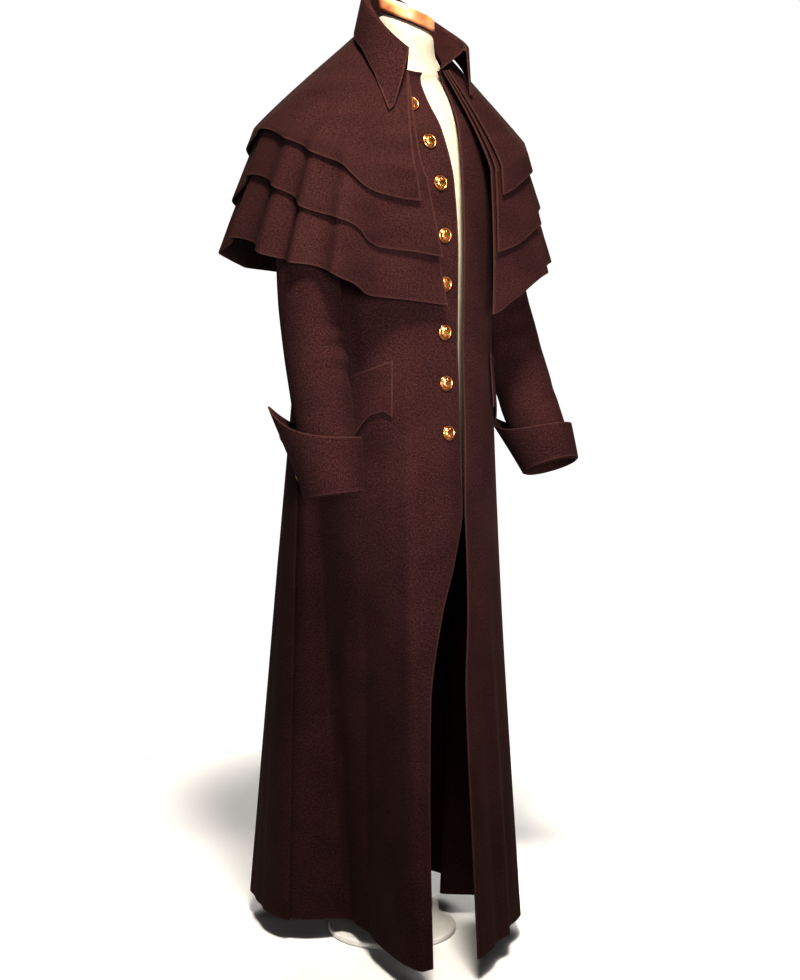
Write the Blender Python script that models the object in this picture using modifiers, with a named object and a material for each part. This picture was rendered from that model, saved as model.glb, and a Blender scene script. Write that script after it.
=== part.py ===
"""Caped greatcoat of wool cloth on a dress form, in metres, front towards -Y, up +Z."""
import math

import bmesh
import bpy
import numpy as np
from mathutils import Matrix, Vector
from mathutils.bvhtree import BVHTree

# General sizes
HEM_Z = 0.035
WALL = 0.0022
GAP = 0.0003
TINY = 1e-6
HALF_SEAM = 0.0004
WAIST = 0.89
NECK = 1.315

# Coat body above the waist: a row for each level
# height above the hem, tilt, half width, front depth, back depth, middle in y
BODY = (
    (WAIST, 0.00, 0.153, 0.147, 0.115, 0.000),
    (1.020, 0.00, 0.152, 0.147, 0.122, 0.000),
    (1.120, 0.00, 0.150, 0.138, 0.128, 0.000),
    (1.200, 0.02, 0.147, 0.116, 0.127, 0.000),
    (1.250, 0.10, 0.120, 0.092, 0.097, -0.002),
    (1.285, 0.26, 0.091, 0.075, 0.072, -0.008),
    (1.305, 0.44, 0.072, 0.063, 0.059, -0.018),
    (NECK, 0.60, 0.057, 0.054, 0.052, -0.030),
)
TILT, HALF_WIDTH, FRONT, BACK, MIDDLE = 1, 2, 3, 4, 5

# Hem of the skirt seen from above: angle from the front (left positive), distance from the axis
HEM = (
    (-180, 0.215), (-165, 0.236), (-150, 0.245), (-140, 0.224), (-129, 0.202), (-118, 0.191),
    (-106.5, 0.170), (-102, 0.140), (-98, 0.112), (-92, 0.092), (-84, 0.088), (-70, 0.100),
    (-56, 0.124), (-45, 0.172), (-35, 0.242), (-29, 0.289), (-25, 0.280), (-9, 0.267),
    (-5, 0.255), (10, 0.222), (25, 0.205), (41, 0.200), (56, 0.196), (70, 0.168),
    (84, 0.120), (92, 0.104), (98, 0.116), (102, 0.142), (106.5, 0.170), (118, 0.191),
    (129, 0.202), (140, 0.224), (150, 0.245), (165, 0.236), (180, 0.215),
)

# How the flare of the skirt grows down from the waist: angle, power
FLARE = (
    (-180, 0.90), (-128, 0.70), (-95, 0.90), (-60, 1.10), (20, 1.10), (52, 1.30), (80, 1.10),
    (100, 0.85), (128, 0.70), (180, 0.90),
)

# Front opening: height above the hem, angle of the right edge, angle of the left edge
OPENING = (
    (0.000, -25.7, -9.6), (0.170, -25.0, -8.4), (0.380, -22.5, -6.0), (0.500, -16.0, -1.0),
    (0.580, -7.5, 0.9), (0.650, -0.4, 1.8), (0.700, 0.6, 3.2), (0.800, 2.0, 5.6),
    (0.920, 2.8, 6.8), (1.060, 3.0, 8.0), (1.130, 3.0, 10.0), (1.206, 1.0, 15.0),
    (1.253, -3.0, 21.0), (NECK, -9.0, 26.0),
)
RIGHT, LEFT = -1, 1

# Armhole: an oval in the side of the body
ARMHOLE_LOW = 1.085
ARMHOLE_HIGH = 1.250
ARMHOLE_ANGLE = 33.0
SIDE_ANGLE = 90.0


def eased(table, column, at):
    """Column of a table at a key, eased from row to row with no overshoot."""
    keys = np.array([row[0] for row in table], float)
    values = np.array([row[column] for row in table], float)
    steps = np.diff(keys)
    rise = np.diff(values) / steps
    both = rise[:-1] * rise[1:]
    total = np.where(both > 0, rise[:-1] + rise[1:], 1.0)
    inner = np.where(both > 0, 2 * both / total, 0.0)
    slope = np.concatenate([rise[:1], inner, rise[-1:]])
    at = np.clip(at, keys[0], keys[-1])
    i = np.clip(np.searchsorted(keys, at, side="right") - 1, 0, len(steps) - 1)
    t = (at - keys[i]) / steps[i]
    start = values[i] * (1 + 2 * t) * (1 - t) ** 2 + slope[i] * steps[i] * t * (1 - t) ** 2
    end = values[i + 1] * t * t * (3 - 2 * t) + slope[i + 1] * steps[i] * t * t * (t - 1)
    return start + end


def body(height, angle):
    """Outer face of the coat at a height above the hem and an angle in degrees from the front."""
    turn = np.radians(angle)
    middle = eased(BODY, MIDDLE, height)
    deep = np.where(np.cos(turn) > 0, eased(BODY, FRONT, height), eased(BODY, BACK, height))
    x = eased(BODY, HALF_WIDTH, height) * np.sin(turn)
    y = middle - deep * np.cos(turn)
    hang = np.clip(1 - np.asarray(height) / WAIST, 0, 1) ** eased(FLARE, 1, angle)
    reach = eased(HEM, 1, angle)
    x = x * (1 - hang) + reach * hang * np.sin(turn)
    y = y * (1 - hang) - reach * hang * np.cos(turn)
    z = HEM_Z + height + eased(BODY, TILT, height) * (y - middle)
    return np.stack(np.broadcast_arrays(x, y, z), -1)


def along(surface, first, second, step=1e-4):
    """Outward normal of a surface of two keys."""
    one = surface(first + step, second) - surface(first - step, second)
    two = surface(first, second + step) - surface(first, second - step)
    cross = np.cross(two, one)
    return cross / np.linalg.norm(cross, axis=-1, keepdims=True)


def off_body(height, angle, out):
    """A point of the body moved out from the cloth."""
    return body(height, angle) + along(body, height, angle) * np.asarray(out)[..., None]


def seam_shift(height, angle):
    """Degrees that half the seam gap takes at a place on the body."""
    step = 1e-3
    run = np.linalg.norm(body(height, angle + step) - body(height, angle - step), axis=-1)
    return HALF_SEAM * 2 * step / run


def armhole_angle(height):
    """How far the armhole edge lies from the side seam, in degrees."""
    place = (height - ARMHOLE_MIDDLE) / ARMHOLE_HALF
    return ARMHOLE_ANGLE * np.sqrt(np.clip(1 - place * place, 0, 1))


def wrapped(angle):
    """Angle brought between -180 and 180 degrees."""
    return (np.asarray(angle, float) + 180) % 360 - 180


# Levels and columns of the panels
SKIRT_LEVELS = (0.0, 0.11, 0.24, 0.37, 0.50, 0.58, 0.65, 0.76, WAIST, 0.96, 1.03)
YOKE_LEVELS = (1.275, 1.298, NECK)
ARMHOLE_STEPS = 8
ARMHOLE_TURNS = np.linspace(0, 360, 2 * ARMHOLE_STEPS + 1)
ARMHOLE_MIDDLE = (ARMHOLE_HIGH + ARMHOLE_LOW) / 2
ARMHOLE_HALF = (ARMHOLE_HIGH - ARMHOLE_LOW) / 2
ARMHOLE_LEVELS = ARMHOLE_MIDDLE - ARMHOLE_HALF * np.cos(np.radians(ARMHOLE_TURNS[:ARMHOLE_STEPS + 1]))
PANEL_LEVELS = (*SKIRT_LEVELS, *ARMHOLE_LEVELS, *YOKE_LEVELS)
FRONT_COLUMNS = 15
BACK_ANGLES = (
    90, 93, 96, 99, 101.5, 104, 106.5, 109, 114, 121, 129, 137, 145, 153, 162, 171, 180,
)

# Sleeve rings below the armhole: key along the sleeve, out from the middle, middle in y,
# height above the hem, lean of the ring, pitch of the ring, half across, half front to back
SLEEVE_RIGHT = (
    (1, 0.177, -0.006, 1.118, 70, 0, 0.0420, 0.0540),
    (2, 0.187, -0.026, 1.066, 30, 2, 0.0380, 0.0500),
    (3, 0.194, -0.050, 1.020, 8, 4, 0.0420, 0.0490),
    (4, 0.199, -0.064, 0.955, 0, 6, 0.0440, 0.0480),
    (5, 0.197, -0.072, 0.890, 0, 8, 0.0430, 0.0475),
    (6, 0.195, -0.085, 0.820, 0, 10, 0.0425, 0.0460),
    (7, 0.197, -0.103, 0.745, 0, 11, 0.0410, 0.0440),
    (8, 0.197, -0.118, 0.684, 0, 12, 0.0395, 0.0425),
)
SLEEVE_LEFT = (
    (1, 0.177, 0.000, 1.118, 70, 0, 0.0420, 0.0540),
    (2, 0.189, 0.002, 1.066, 30, 0, 0.0380, 0.0500),
    (3, 0.199, 0.006, 1.020, 8, 2, 0.0420, 0.0490),
    (4, 0.204, 0.000, 0.965, 0, 10, 0.0440, 0.0480),
    (5, 0.203, -0.030, 0.890, 0, 20, 0.0440, 0.0475),
    (6, 0.200, -0.070, 0.815, 0, 23, 0.0430, 0.0460),
    (7, 0.200, -0.105, 0.752, 0, 24, 0.0410, 0.0440),
    (8, 0.200, -0.138, 0.694, 0, 24, 0.0395, 0.0425),
)
RING_X, RING_Y, RING_H, RING_LEAN, RING_PITCH, RING_ACROSS, RING_DEEP = 1, 2, 3, 4, 5, 6, 7
SLEEVE_ROWS = 11
SLEEVE_OFF = 3 * GAP


def sleeve_ring(table, side, key, turn, out):
    """Points of a sleeve ring: turn 0 outer, 90 front, 180 inner, 270 back."""
    lean = np.radians(eased(table, RING_LEAN, key))
    pitch = np.radians(eased(table, RING_PITCH, key))
    across = (eased(table, RING_ACROSS, key) + out) * np.cos(np.radians(turn))
    ahead = (eased(table, RING_DEEP, key) + out) * np.sin(np.radians(turn))
    x = side * (eased(table, RING_X, key) + across * np.cos(lean))
    y = eased(table, RING_Y, key) - ahead * np.cos(pitch)
    z = HEM_Z + eased(table, RING_H, key) + across * np.sin(lean) + ahead * np.sin(pitch)
    return np.stack(np.broadcast_arrays(x, y, z), -1)


def armhole_ring(side, turn):
    """Sleeve seam, just off the edge of the armhole."""
    height = ARMHOLE_MIDDLE + ARMHOLE_HALF * np.cos(np.radians(turn))
    angle = side * (SIDE_ANGLE - ARMHOLE_ANGLE * np.sin(np.radians(turn)))
    return off_body(height, angle, np.full(np.shape(turn), SLEEVE_OFF))


def sleeve(table, side):
    """Grid of the sleeve, from the armhole down to the wrist."""
    keys = np.linspace(1, len(table), SLEEVE_ROWS)
    rings = [armhole_ring(side, ARMHOLE_TURNS)]
    rings += [sleeve_ring(table, side, key, ARMHOLE_TURNS, 0.0) for key in keys]
    return np.array(rings)


# Turned-back cuff: a band whose two ends meet behind the outer side of the arm, where it rises to a pointed wing
CUFF_LOW_KEY = 7.97
CUFF_OFF = WALL + 3 * GAP
CUFF_FLARE = 0.007
CUFF_END = 1.2
WING_HALF = 58.0
WING_SHARP = 1.35
WING_POWER = 1.75
# key of the upper edge, turn of the wing about the arm, how far it stands out, how far it rises
CUFFS = {RIGHT: (6.78, -50.0, 0.034, 0.056), LEFT: (7.16, -106.0, 0.038, 0.040)}
CUFF_ROWS = 4
CUFF_COLUMNS = 24


def cuff_point(table, side, turn, up):
    """Point of the cuff at a turn about the sleeve and a share of its depth."""
    high, middle, reach, rise = CUFFS[side]
    key = CUFF_LOW_KEY + (high - CUFF_LOW_KEY) * up
    far = np.abs(wrapped(turn - middle)) / WING_HALF
    wing = np.exp(-far ** WING_SHARP) * up ** WING_POWER
    aim = math.radians(middle)
    point = sleeve_ring(table, side, key, turn, CUFF_OFF + CUFF_FLARE * up)
    out = np.array([side * math.cos(aim) * reach, -math.sin(aim) * reach, rise])
    return point + wing[..., None] * out


def cuff(table, side, rows, columns):
    """Grid of the cuff from its lower edge to its upper edge."""
    turn = CUFFS[side][1] + np.linspace(CUFF_END, 360 - CUFF_END, columns + 1)
    return np.array([cuff_point(table, side, turn, up + 0 * turn) for up in np.linspace(0, 1, rows + 1)])


# Capes: how they reach over the arms, their hems and folds
# angle, reach at the end of the shoulder curve, flare below it
MANTLE_REACH = (
    (-180, 0.146, 0.16), (-155, 0.166, 0.24), (-140, 0.182, 0.32), (-125, 0.190, 0.36),
    (-110, 0.192, 0.36), (-95, 0.193, 0.36), (-80, 0.193, 0.38), (-65, 0.192, 0.40),
    (-54, 0.188, 0.38), (-49, 0.180, 0.30), (-44, 0.171, 0.16), (-38, 0.164, 0.10),
    (-25, 0.157, 0.07), (-10, 0.152, 0.06), (0, 0.151, 0.06), (12, 0.152, 0.08),
    (25, 0.158, 0.14), (38, 0.172, 0.20), (52, 0.187, 0.25), (65, 0.192, 0.30),
    (80, 0.194, 0.34), (95, 0.194, 0.36), (110, 0.193, 0.36), (125, 0.190, 0.36),
    (140, 0.182, 0.32), (155, 0.166, 0.24), (180, 0.146, 0.16),
)
# angle, drop of the shoulder curve, its roundness
MANTLE_CURVE = (
    (0, 0.160, 1.32), (45, 0.140, 1.01), (90, 0.128, 1.06), (135, 0.148, 1.08), (180, 0.165, 1.45),
)
# angle, heights of the lower, middle and upper hem
CAPE_HEMS = (
    (-180, 0.972, 1.040, 1.120), (-140, 1.000, 1.072, 1.150), (-120, 1.030, 1.112, 1.186),
    (-102, 1.047, 1.138, 1.204), (-90, 1.038, 1.130, 1.196), (-78, 1.022, 1.112, 1.183),
    (-65, 1.014, 1.087, 1.164), (-57, 1.004, 1.080, 1.154), (-53.5, 0.996, 1.075, 1.142),
    (-50, 0.986, 1.064, 1.128), (-47, 0.971, 1.046, 1.119), (-44, 0.967, 1.038, 1.114),
    (-29, 0.960, 1.030, 1.103), (0, 0.946, 1.018, 1.098), (18, 0.934, 1.022, 1.100),
    (32, 0.956, 1.032, 1.112), (50, 0.988, 1.060, 1.138), (70, 1.004, 1.088, 1.164),
    (85, 1.022, 1.120, 1.186), (102, 1.042, 1.138, 1.202), (120, 1.030, 1.112, 1.184),
    (140, 1.000, 1.072, 1.150), (180, 0.972, 1.040, 1.120),
)
CAPE_FOLDS = (
    (-180, 0.004), (-165, -0.003), (-150, 0.005), (-138, -0.004), (-126, 0.005), (-114, -0.004),
    (-104, 0.009), (-93, -0.004), (-83, 0.011), (-76, -0.005), (-70, 0.010), (-63, -0.003),
    (-55, 0.008), (-46, -0.003), (-36, 0.001), (-20, 0.000), (20, 0.000), (38, -0.002),
    (50, 0.003), (60, -0.003), (70, 0.005), (80, -0.005), (90, 0.005), (102, -0.004),
    (114, 0.005), (127, -0.004), (140, 0.005), (153, -0.004), (166, 0.003), (180, 0.004),
)
FOLD_DEPTH = 0.36
FOLD_POWER = 1.3
CAPE_SPREAD = 0.0065
CAPE_EDGE_RIGHT = ((-31, -8), (-32, -11.5), (-33, -24))
CAPE_EDGE_LEFT = ((35, 19), (35, 23), (35, 28))
CAPE_ANGLES = (
    38, 45, 52, 58, 64, 70, 75, 80, 85, 90, 96, 102, 108, 114, 121, 128, 136, 144, 153, 162, 171,
    180, 189, 198, 207, 216, 224, 232, 240, 247, 254, 260, 266, 272, 277, 280.5, 284, 287, 290,
    293.5, 297, 301, 305, 309, 312, 315, 319, 323,
)
CAPE_EDGE_COLUMNS = 3
CAPE_STATIONS = (1.0, 0.77, 0.54, 0.34, 0.18, 0.07, 0.0)
CAPE_TOP = NECK - 0.001
CAPE_NECK_OFF = WALL + 0.0014
CAPE_NECK_STEP = WALL + 0.0017


def cape_point(layer, down, angle):
    """Point of a cape at a share of the way from the neck to the hem."""
    angle = wrapped(angle)
    turn = np.radians(angle)
    start = off_body(np.full(np.shape(angle), CAPE_TOP), angle,
                     np.full(np.shape(angle), CAPE_NECK_OFF + layer * CAPE_NECK_STEP))
    reach = eased(MANTLE_REACH, 1, angle) + layer * CAPE_SPREAD
    drop = eased(MANTLE_CURVE, 1, np.abs(angle)) - layer * CAPE_SPREAD / 2
    bend = eased(MANTLE_CURVE, 2, np.abs(angle))
    hem = HEM_Z + eased(CAPE_HEMS, layer + 1, angle)
    low = start[..., 2] - drop
    share = np.clip((hem - low) / drop, 0, 1) ** (bend / 2)
    last = np.arccos(share)
    arc = np.hypot(np.hypot(reach * np.sin(turn) - start[..., 0], reach * np.cos(turn) + start[..., 1]),
                   start[..., 2] - np.maximum(hem, low))
    line = np.maximum(low - hem, 0)
    part = arc / (arc + line)
    curve = last * np.clip(down / part, 0, 1)
    fall = np.clip((down - part) / np.maximum(1 - part, TINY), 0, 1)
    out = np.sin(curve) ** (2 / bend)
    level = np.cos(curve) ** (2 / bend)
    z = low + drop * level - line * fall
    grown = np.clip((start[..., 2] - z) / FOLD_DEPTH, 0, None) ** FOLD_POWER
    fold = eased(CAPE_FOLDS, 1, angle) * grown
    fold = fold + eased(MANTLE_REACH, 2, angle) * line * fall
    x = start[..., 0] + (reach * np.sin(turn) - start[..., 0]) * out + fold * np.sin(turn)
    y = start[..., 1] + (-reach * np.cos(turn) - start[..., 1]) * out - fold * np.cos(turn)
    return np.stack([x, y, z], -1)


def cape(layer, angles):
    """Grid of a cape from its hem up to the neck."""
    grid = []
    for down in CAPE_STATIONS:
        left = np.interp(down, (0, 1), CAPE_EDGE_LEFT[layer])
        right = 360 + np.interp(down, (0, 1), CAPE_EDGE_RIGHT[layer])
        near_left = [left, (left + angles[0]) / 2]
        near_right = np.linspace(angles[-1], right, CAPE_EDGE_COLUMNS + 1)[1:]
        row = np.concatenate([near_left, angles, near_right])
        grid.append(cape_point(layer, np.full(len(row), down), row))
    return np.array(grid)


# Collar: stand, roll and pointed fall, by angle from the front round the left and the back to the right
# angle, stand height, stand lean, fall length, fall spread, swing of the fall edge
COLLAR = (
    (33, 0.024, 0.032, 0.104, 0.006, 8), (45, 0.026, 0.030, 0.090, 0.005, 5),
    (62, 0.030, 0.020, 0.070, 0.007, 2), (90, 0.032, 0.010, 0.050, 0.011, 0),
    (125, 0.036, 0.006, 0.042, 0.012, 0), (180, 0.056, 0.004, 0.052, 0.012, 0),
    (230, 0.062, -0.002, 0.054, 0.012, 0), (270, 0.058, 0.003, 0.052, 0.014, 0),
    (298, 0.045, 0.012, 0.060, 0.019, 3), (315, 0.034, 0.017, 0.080, 0.028, 9),
    (327, 0.025, 0.021, 0.100, 0.034, 15),
)
STAND, LEAN, FALL, SPREAD, SWING = 1, 2, 3, 4, 5
ROLL = 0.0036
COLLAR_CLEAR = 0.0092
STAND_SHARES = (0.0, 0.5, 0.9)
ROLL_TURNS = (0.0, 60.0, 120.0, 180.0)
FALL_SHARES = (0.3, 0.65, 1.0)
COLLAR_COLUMNS = 26


def cape_height(layer, x, y):
    """Height of a cape's shoulder curve under a place."""
    angle = np.degrees(np.arctan2(x, -y))
    top = cape_point(layer, np.zeros(np.shape(angle)), angle)
    reach = eased(MANTLE_REACH, 1, angle) + layer * CAPE_SPREAD
    drop = eased(MANTLE_CURVE, 1, np.abs(angle)) - layer * CAPE_SPREAD / 2
    bend = eased(MANTLE_CURVE, 2, np.abs(angle))
    inner = np.hypot(top[..., 0], top[..., 1])
    out = np.clip((np.hypot(x, y) - inner) / (reach - inner), 0, 1)
    return top[..., 2] - drop + drop * (1 - out ** bend) ** (1 / bend)


def collar_point(angle, stand, roll, fall):
    """Point of the collar: shares of stand and fall, and degrees of the roll."""
    place = np.asarray(angle) % 360
    swing = eased(COLLAR, SWING, place) * np.sign(wrapped(angle)) * fall
    base = body(np.full(np.shape(angle), NECK), wrapped(angle))
    middle = BODY[-1][MIDDLE]
    aim = np.arctan2(base[..., 0], middle - base[..., 1]) + np.radians(swing)
    reach = np.hypot(base[..., 0], base[..., 1] - middle)
    bend = math.radians(roll)
    reach = reach + eased(COLLAR, LEAN, place) * stand + ROLL * (1 - math.cos(bend))
    reach = reach + eased(COLLAR, SPREAD, place) * fall
    rise = eased(COLLAR, STAND, place) * stand + ROLL * math.sin(bend) - eased(COLLAR, FALL, place) * fall
    x = reach * np.sin(aim)
    y = middle - reach * np.cos(aim)
    z = base[..., 2] + GAP + rise
    if fall > 0:
        z = np.maximum(z, cape_height(2, x, y) + COLLAR_CLEAR)
    return np.stack([x, y, z], -1)


def collar():
    """Grid of the collar from the neckline over the roll to the edge of the fall."""
    angle = np.linspace(COLLAR[0][0], COLLAR[-1][0], COLLAR_COLUMNS + 1)
    rows = [collar_point(angle, share, 0.0, 0.0) for share in STAND_SHARES]
    rows += [collar_point(angle, 1.0, turn, 0.0) for turn in ROLL_TURNS]
    rows += [collar_point(angle, 1.0, 180.0, share) for share in FALL_SHARES]
    return np.array(rows)


# Pocket flaps: angle from the front, height of the upper edge, depth of the scalloped edge
FLAP = (
    (36.5, 0.872, 0.082), (42.0, 0.867, 0.070), (48.0, 0.861, 0.068), (54.5, 0.855, 0.080),
    (58.0, 0.852, 0.088), (61.5, 0.848, 0.080), (68.0, 0.842, 0.068), (74.0, 0.836, 0.070),
    (79.5, 0.831, 0.082),
)
FLAP_TOP, FLAP_DEEP = 1, 2
FLAP_OFF = WALL + 0.0006
FLAP_LIFT = 0.0025
FLAP_COLUMNS = 14
FLAP_ROWS = 3


def flap(side):
    """Grid of a pocket flap lying on its front, from the lower edge up."""
    angle = np.linspace(FLAP[0][0], FLAP[-1][0], FLAP_COLUMNS + 1)
    rows = []
    for up in np.linspace(0, 1, FLAP_ROWS + 1):
        height = eased(FLAP, FLAP_TOP, angle) - (1 - up) * eased(FLAP, FLAP_DEEP, angle)
        rows.append(off_body(height, side * angle, np.full(len(angle), FLAP_OFF + FLAP_LIFT * (1 - up))))
    return np.array(rows)


# Buttons
BUTTON_RADIUS = 0.0112
BUTTON_HIGH = 0.0058
BUTTON_INSET = 0.024
BUTTON_OFF = 0.0008
BUTTON_AIM = 0.02
BUTTON_SIDES = 12
BUTTON_STEPS = 6
BUTTON_HEIGHTS = (1.247, 1.187, 1.126, 1.051, 0.981, 0.911, 0.837, 0.765)
CUFF_BUTTONS = ((14.0, 0.34), (12.0, 0.76))
CUFF_BUTTON_SIZE = 0.85
CUFF_BUTTON_OFF = 0.0005

# Dress form: hips, then the body moved in, then the neck
# height above the hem, half width, front depth, back depth
FORM_HIPS = (
    (0.600, 0.112, 0.100, 0.092), (0.630, 0.124, 0.114, 0.100), (0.740, 0.132, 0.124, 0.102),
)
FORM_CLEAR = (
    (WAIST, 0.0150), (1.020, 0.0120), (1.150, 0.0080), (1.225, 0.0050), (1.250, 0.0020), (NECK, 0.0020),
)
FORM_LEVELS = (
    0.83, WAIST, 0.955, 1.02, 1.085, 1.14, 1.185, 1.220, 1.245, 1.265, 1.282, 1.294, 1.303, 1.309,
)
# height above the hem, tilt, way of the tilt from the front, half width, half depth, middle in y
FORM_NECK = (
    (1.3145, 0.54, 0, 0.0500, 0.0450, -0.0300), (1.3230, 0.48, 12, 0.0460, 0.0430, -0.0305),
    (1.3400, 0.42, 35, 0.0422, 0.0415, -0.0325), (1.3582, 0.40, 52, 0.0400, 0.0400, -0.0346),
)
FORM_COLUMNS = 22
CAP_LOW = 1.3590
CAP_TILT = 0.40
CAP_WAY = 52
CAP_RADIUS = 0.0412
CAP_HIGH = 0.022
CAP_BEVEL = 0.006
POLE_RADIUS = 0.0130
TURNED_SIDES = 24
BASE_RADIUS = 0.100
BASE_HIGH = 0.012
BASE_BEVEL = 0.003
BASE_SIDES = 32
BEVEL_STEPS = 2

# Materials: colour, roughness, metallic
WOOL = ((0.045, 0.017, 0.015), 0.92, 0.0)
BRASS = ((0.62, 0.36, 0.12), 0.30, 1.0)
LINEN = ((0.86, 0.74, 0.52), 0.85, 0.0)
WOOD = ((0.62, 0.27, 0.11), 0.45, 0.0)
IRON = ((0.55, 0.53, 0.50), 0.50, 0.3)


def material(name, look):
    """Plain material from colour, roughness and metallic."""
    colour, rough, metal = look
    made = bpy.data.materials.new(name)
    made.use_nodes = True
    shader = made.node_tree.nodes["Principled BSDF"]
    shader.inputs["Base Color"].default_value = (*colour, 1.0)
    shader.inputs["Roughness"].default_value = rough
    shader.inputs["Metallic"].default_value = metal
    return made


def finish(name, shape, look, home):
    """Make a named object from a shape."""
    mesh = bpy.data.meshes.new(name)
    for face in shape.faces:
        face.smooth = True
    shape.to_mesh(mesh)
    shape.free()
    mesh.materials.append(look)
    piece = bpy.data.objects.new(name, mesh)
    home.objects.link(piece)
    return piece


def cloth(name, points, look, home, turned=False, tube=False):
    """Cloth sheet through a grid of points, thickened to the wall."""
    rows, columns = points.shape[:2]
    shape = bmesh.new()
    bmesh.ops.create_grid(shape, x_segments=columns - 1, y_segments=rows - 1, size=1.0)
    for corner in shape.verts:
        column = round((corner.co.x + 1) / 2 * (columns - 1))
        row = round((corner.co.y + 1) / 2 * (rows - 1))
        corner.co = Vector(points[row, column])
    if tube:
        bmesh.ops.remove_doubles(shape, verts=shape.verts, dist=TINY)
    if turned:
        bmesh.ops.reverse_faces(shape, faces=shape.faces)
    piece = finish(name, shape, look, home)
    wall = piece.modifiers.new("wall", "SOLIDIFY")
    wall.thickness = WALL
    wall.offset = -1.0
    wall.use_quality_normals = True
    return piece


def front(side):
    """Grid of a front from the side seam to the opening."""
    rows = []
    for height in PANEL_LEVELS:
        edge = eased(OPENING, 1 if side == RIGHT else 2, height)
        seam = side * (SIDE_ANGLE - armhole_angle(height))
        seam = seam - side * seam_shift(height, seam)
        share = np.linspace(0, 1, FRONT_COLUMNS + 1)
        angle = seam + (edge - seam) * share if side == RIGHT else edge + (seam - edge) * share
        rows.append(body(np.full(len(angle), height), angle))
    return np.array(rows)


def back():
    """Grid of the back between the side seams."""
    half = np.array(BACK_ANGLES, float)
    rows = []
    for height in PANEL_LEVELS:
        seam = SIDE_ANGLE + armhole_angle(height)
        seam = seam + seam_shift(height, seam)
        left = 180 - (180 - half) * (180 - seam) / (180 - SIDE_ANGLE)
        angle = np.concatenate([left, 360 - left[-2::-1]])
        rows.append(body(np.full(len(angle), height), wrapped(angle)))
    return np.array(rows)


def button(name, place, out, size, off, panel, look, home):
    """Domed button with a flat back, seated on its panel and facing out."""
    faces = BVHTree.FromObject(panel, bpy.context.evaluated_depsgraph_get())
    aim = Vector(out)
    seat, normal, face, reach = faces.ray_cast(Vector(place) + aim * BUTTON_AIM, -aim)
    normal = normal if normal.dot(aim) > 0 else -normal
    shape = bmesh.new()
    bmesh.ops.create_uvsphere(shape, u_segments=BUTTON_SIDES, v_segments=BUTTON_STEPS,
                              radius=BUTTON_RADIUS * size)
    for corner in shape.verts:
        corner.co.z = max(corner.co.z, 0.0) * BUTTON_HIGH / BUTTON_RADIUS
    stance = normal.to_track_quat("Z", "Y").to_matrix().to_4x4()
    move = Matrix.Translation(seat + normal * off)
    bmesh.ops.transform(shape, matrix=move @ stance, verts=shape.verts)
    return finish(name, shape, look, home)


def form_torso(look, home):
    """Covered torso and neck, closed at both ends."""
    turn = np.linspace(0, 2 * math.pi, FORM_COLUMNS, endpoint=False)
    rings = []
    for height, wide, ahead, behind in FORM_HIPS:
        deep = np.where(np.cos(turn) > 0, ahead, behind)
        level = np.full(FORM_COLUMNS, HEM_Z + height)
        rings.append(np.stack([wide * np.sin(turn), -deep * np.cos(turn), level], -1))
    for height in FORM_LEVELS:
        level = np.full(FORM_COLUMNS, max(height, WAIST))
        clear = WALL + eased(FORM_CLEAR, 1, level)
        ring = off_body(level, wrapped(np.degrees(turn)), -clear)
        rings.append(ring + np.array([0, 0, min(height - WAIST, 0)]))
    for height, tilt, way, wide, deep, middle in FORM_NECK:
        level = HEM_Z + height - tilt * deep * np.cos(turn - math.radians(way))
        rings.append(np.stack([wide * np.sin(turn), middle - deep * np.cos(turn), level], -1))
    shape = bmesh.new()
    bmesh.ops.create_uvsphere(shape, u_segments=FORM_COLUMNS, v_segments=len(rings) + 1, radius=1.0)
    for corner in shape.verts:
        row = round(math.acos(max(-1.0, min(1.0, -corner.co.z))) / math.pi * (len(rings) + 1))
        column = round(math.atan2(corner.co.x, -corner.co.y) / (2 * math.pi) * FORM_COLUMNS)
        if 0 < row <= len(rings):
            corner.co = Vector(rings[row - 1][column % FORM_COLUMNS])
        else:
            corner.co = Vector(rings[0 if row == 0 else -1].mean(axis=0))
    return finish("form_torso", shape, look, home)


def turned_piece(name, radius, low, high, sides, bevel, look, home, tilt=0.0, way=0.0, middle=0.0):
    """Upright round piece with softened edges, sheared to a tilt that falls towards one way."""
    shape = bmesh.new()
    bmesh.ops.create_cone(shape, cap_ends=True, segments=sides, radius1=radius, radius2=radius,
                          depth=high - low)
    bmesh.ops.translate(shape, vec=(0, 0, (high + low) / 2), verts=shape.verts)
    if bevel:
        rims = [edge for edge in shape.edges if abs(edge.verts[0].co.z - edge.verts[1].co.z) < TINY]
        bmesh.ops.bevel(shape, geom=rims, offset=bevel, segments=BEVEL_STEPS, affect="EDGES", profile=0.5)
    for corner in shape.verts:
        corner.co.z += tilt * (corner.co.y * math.cos(way) - corner.co.x * math.sin(way))
        corner.co.y += middle
    return finish(name, shape, look, home)


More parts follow.
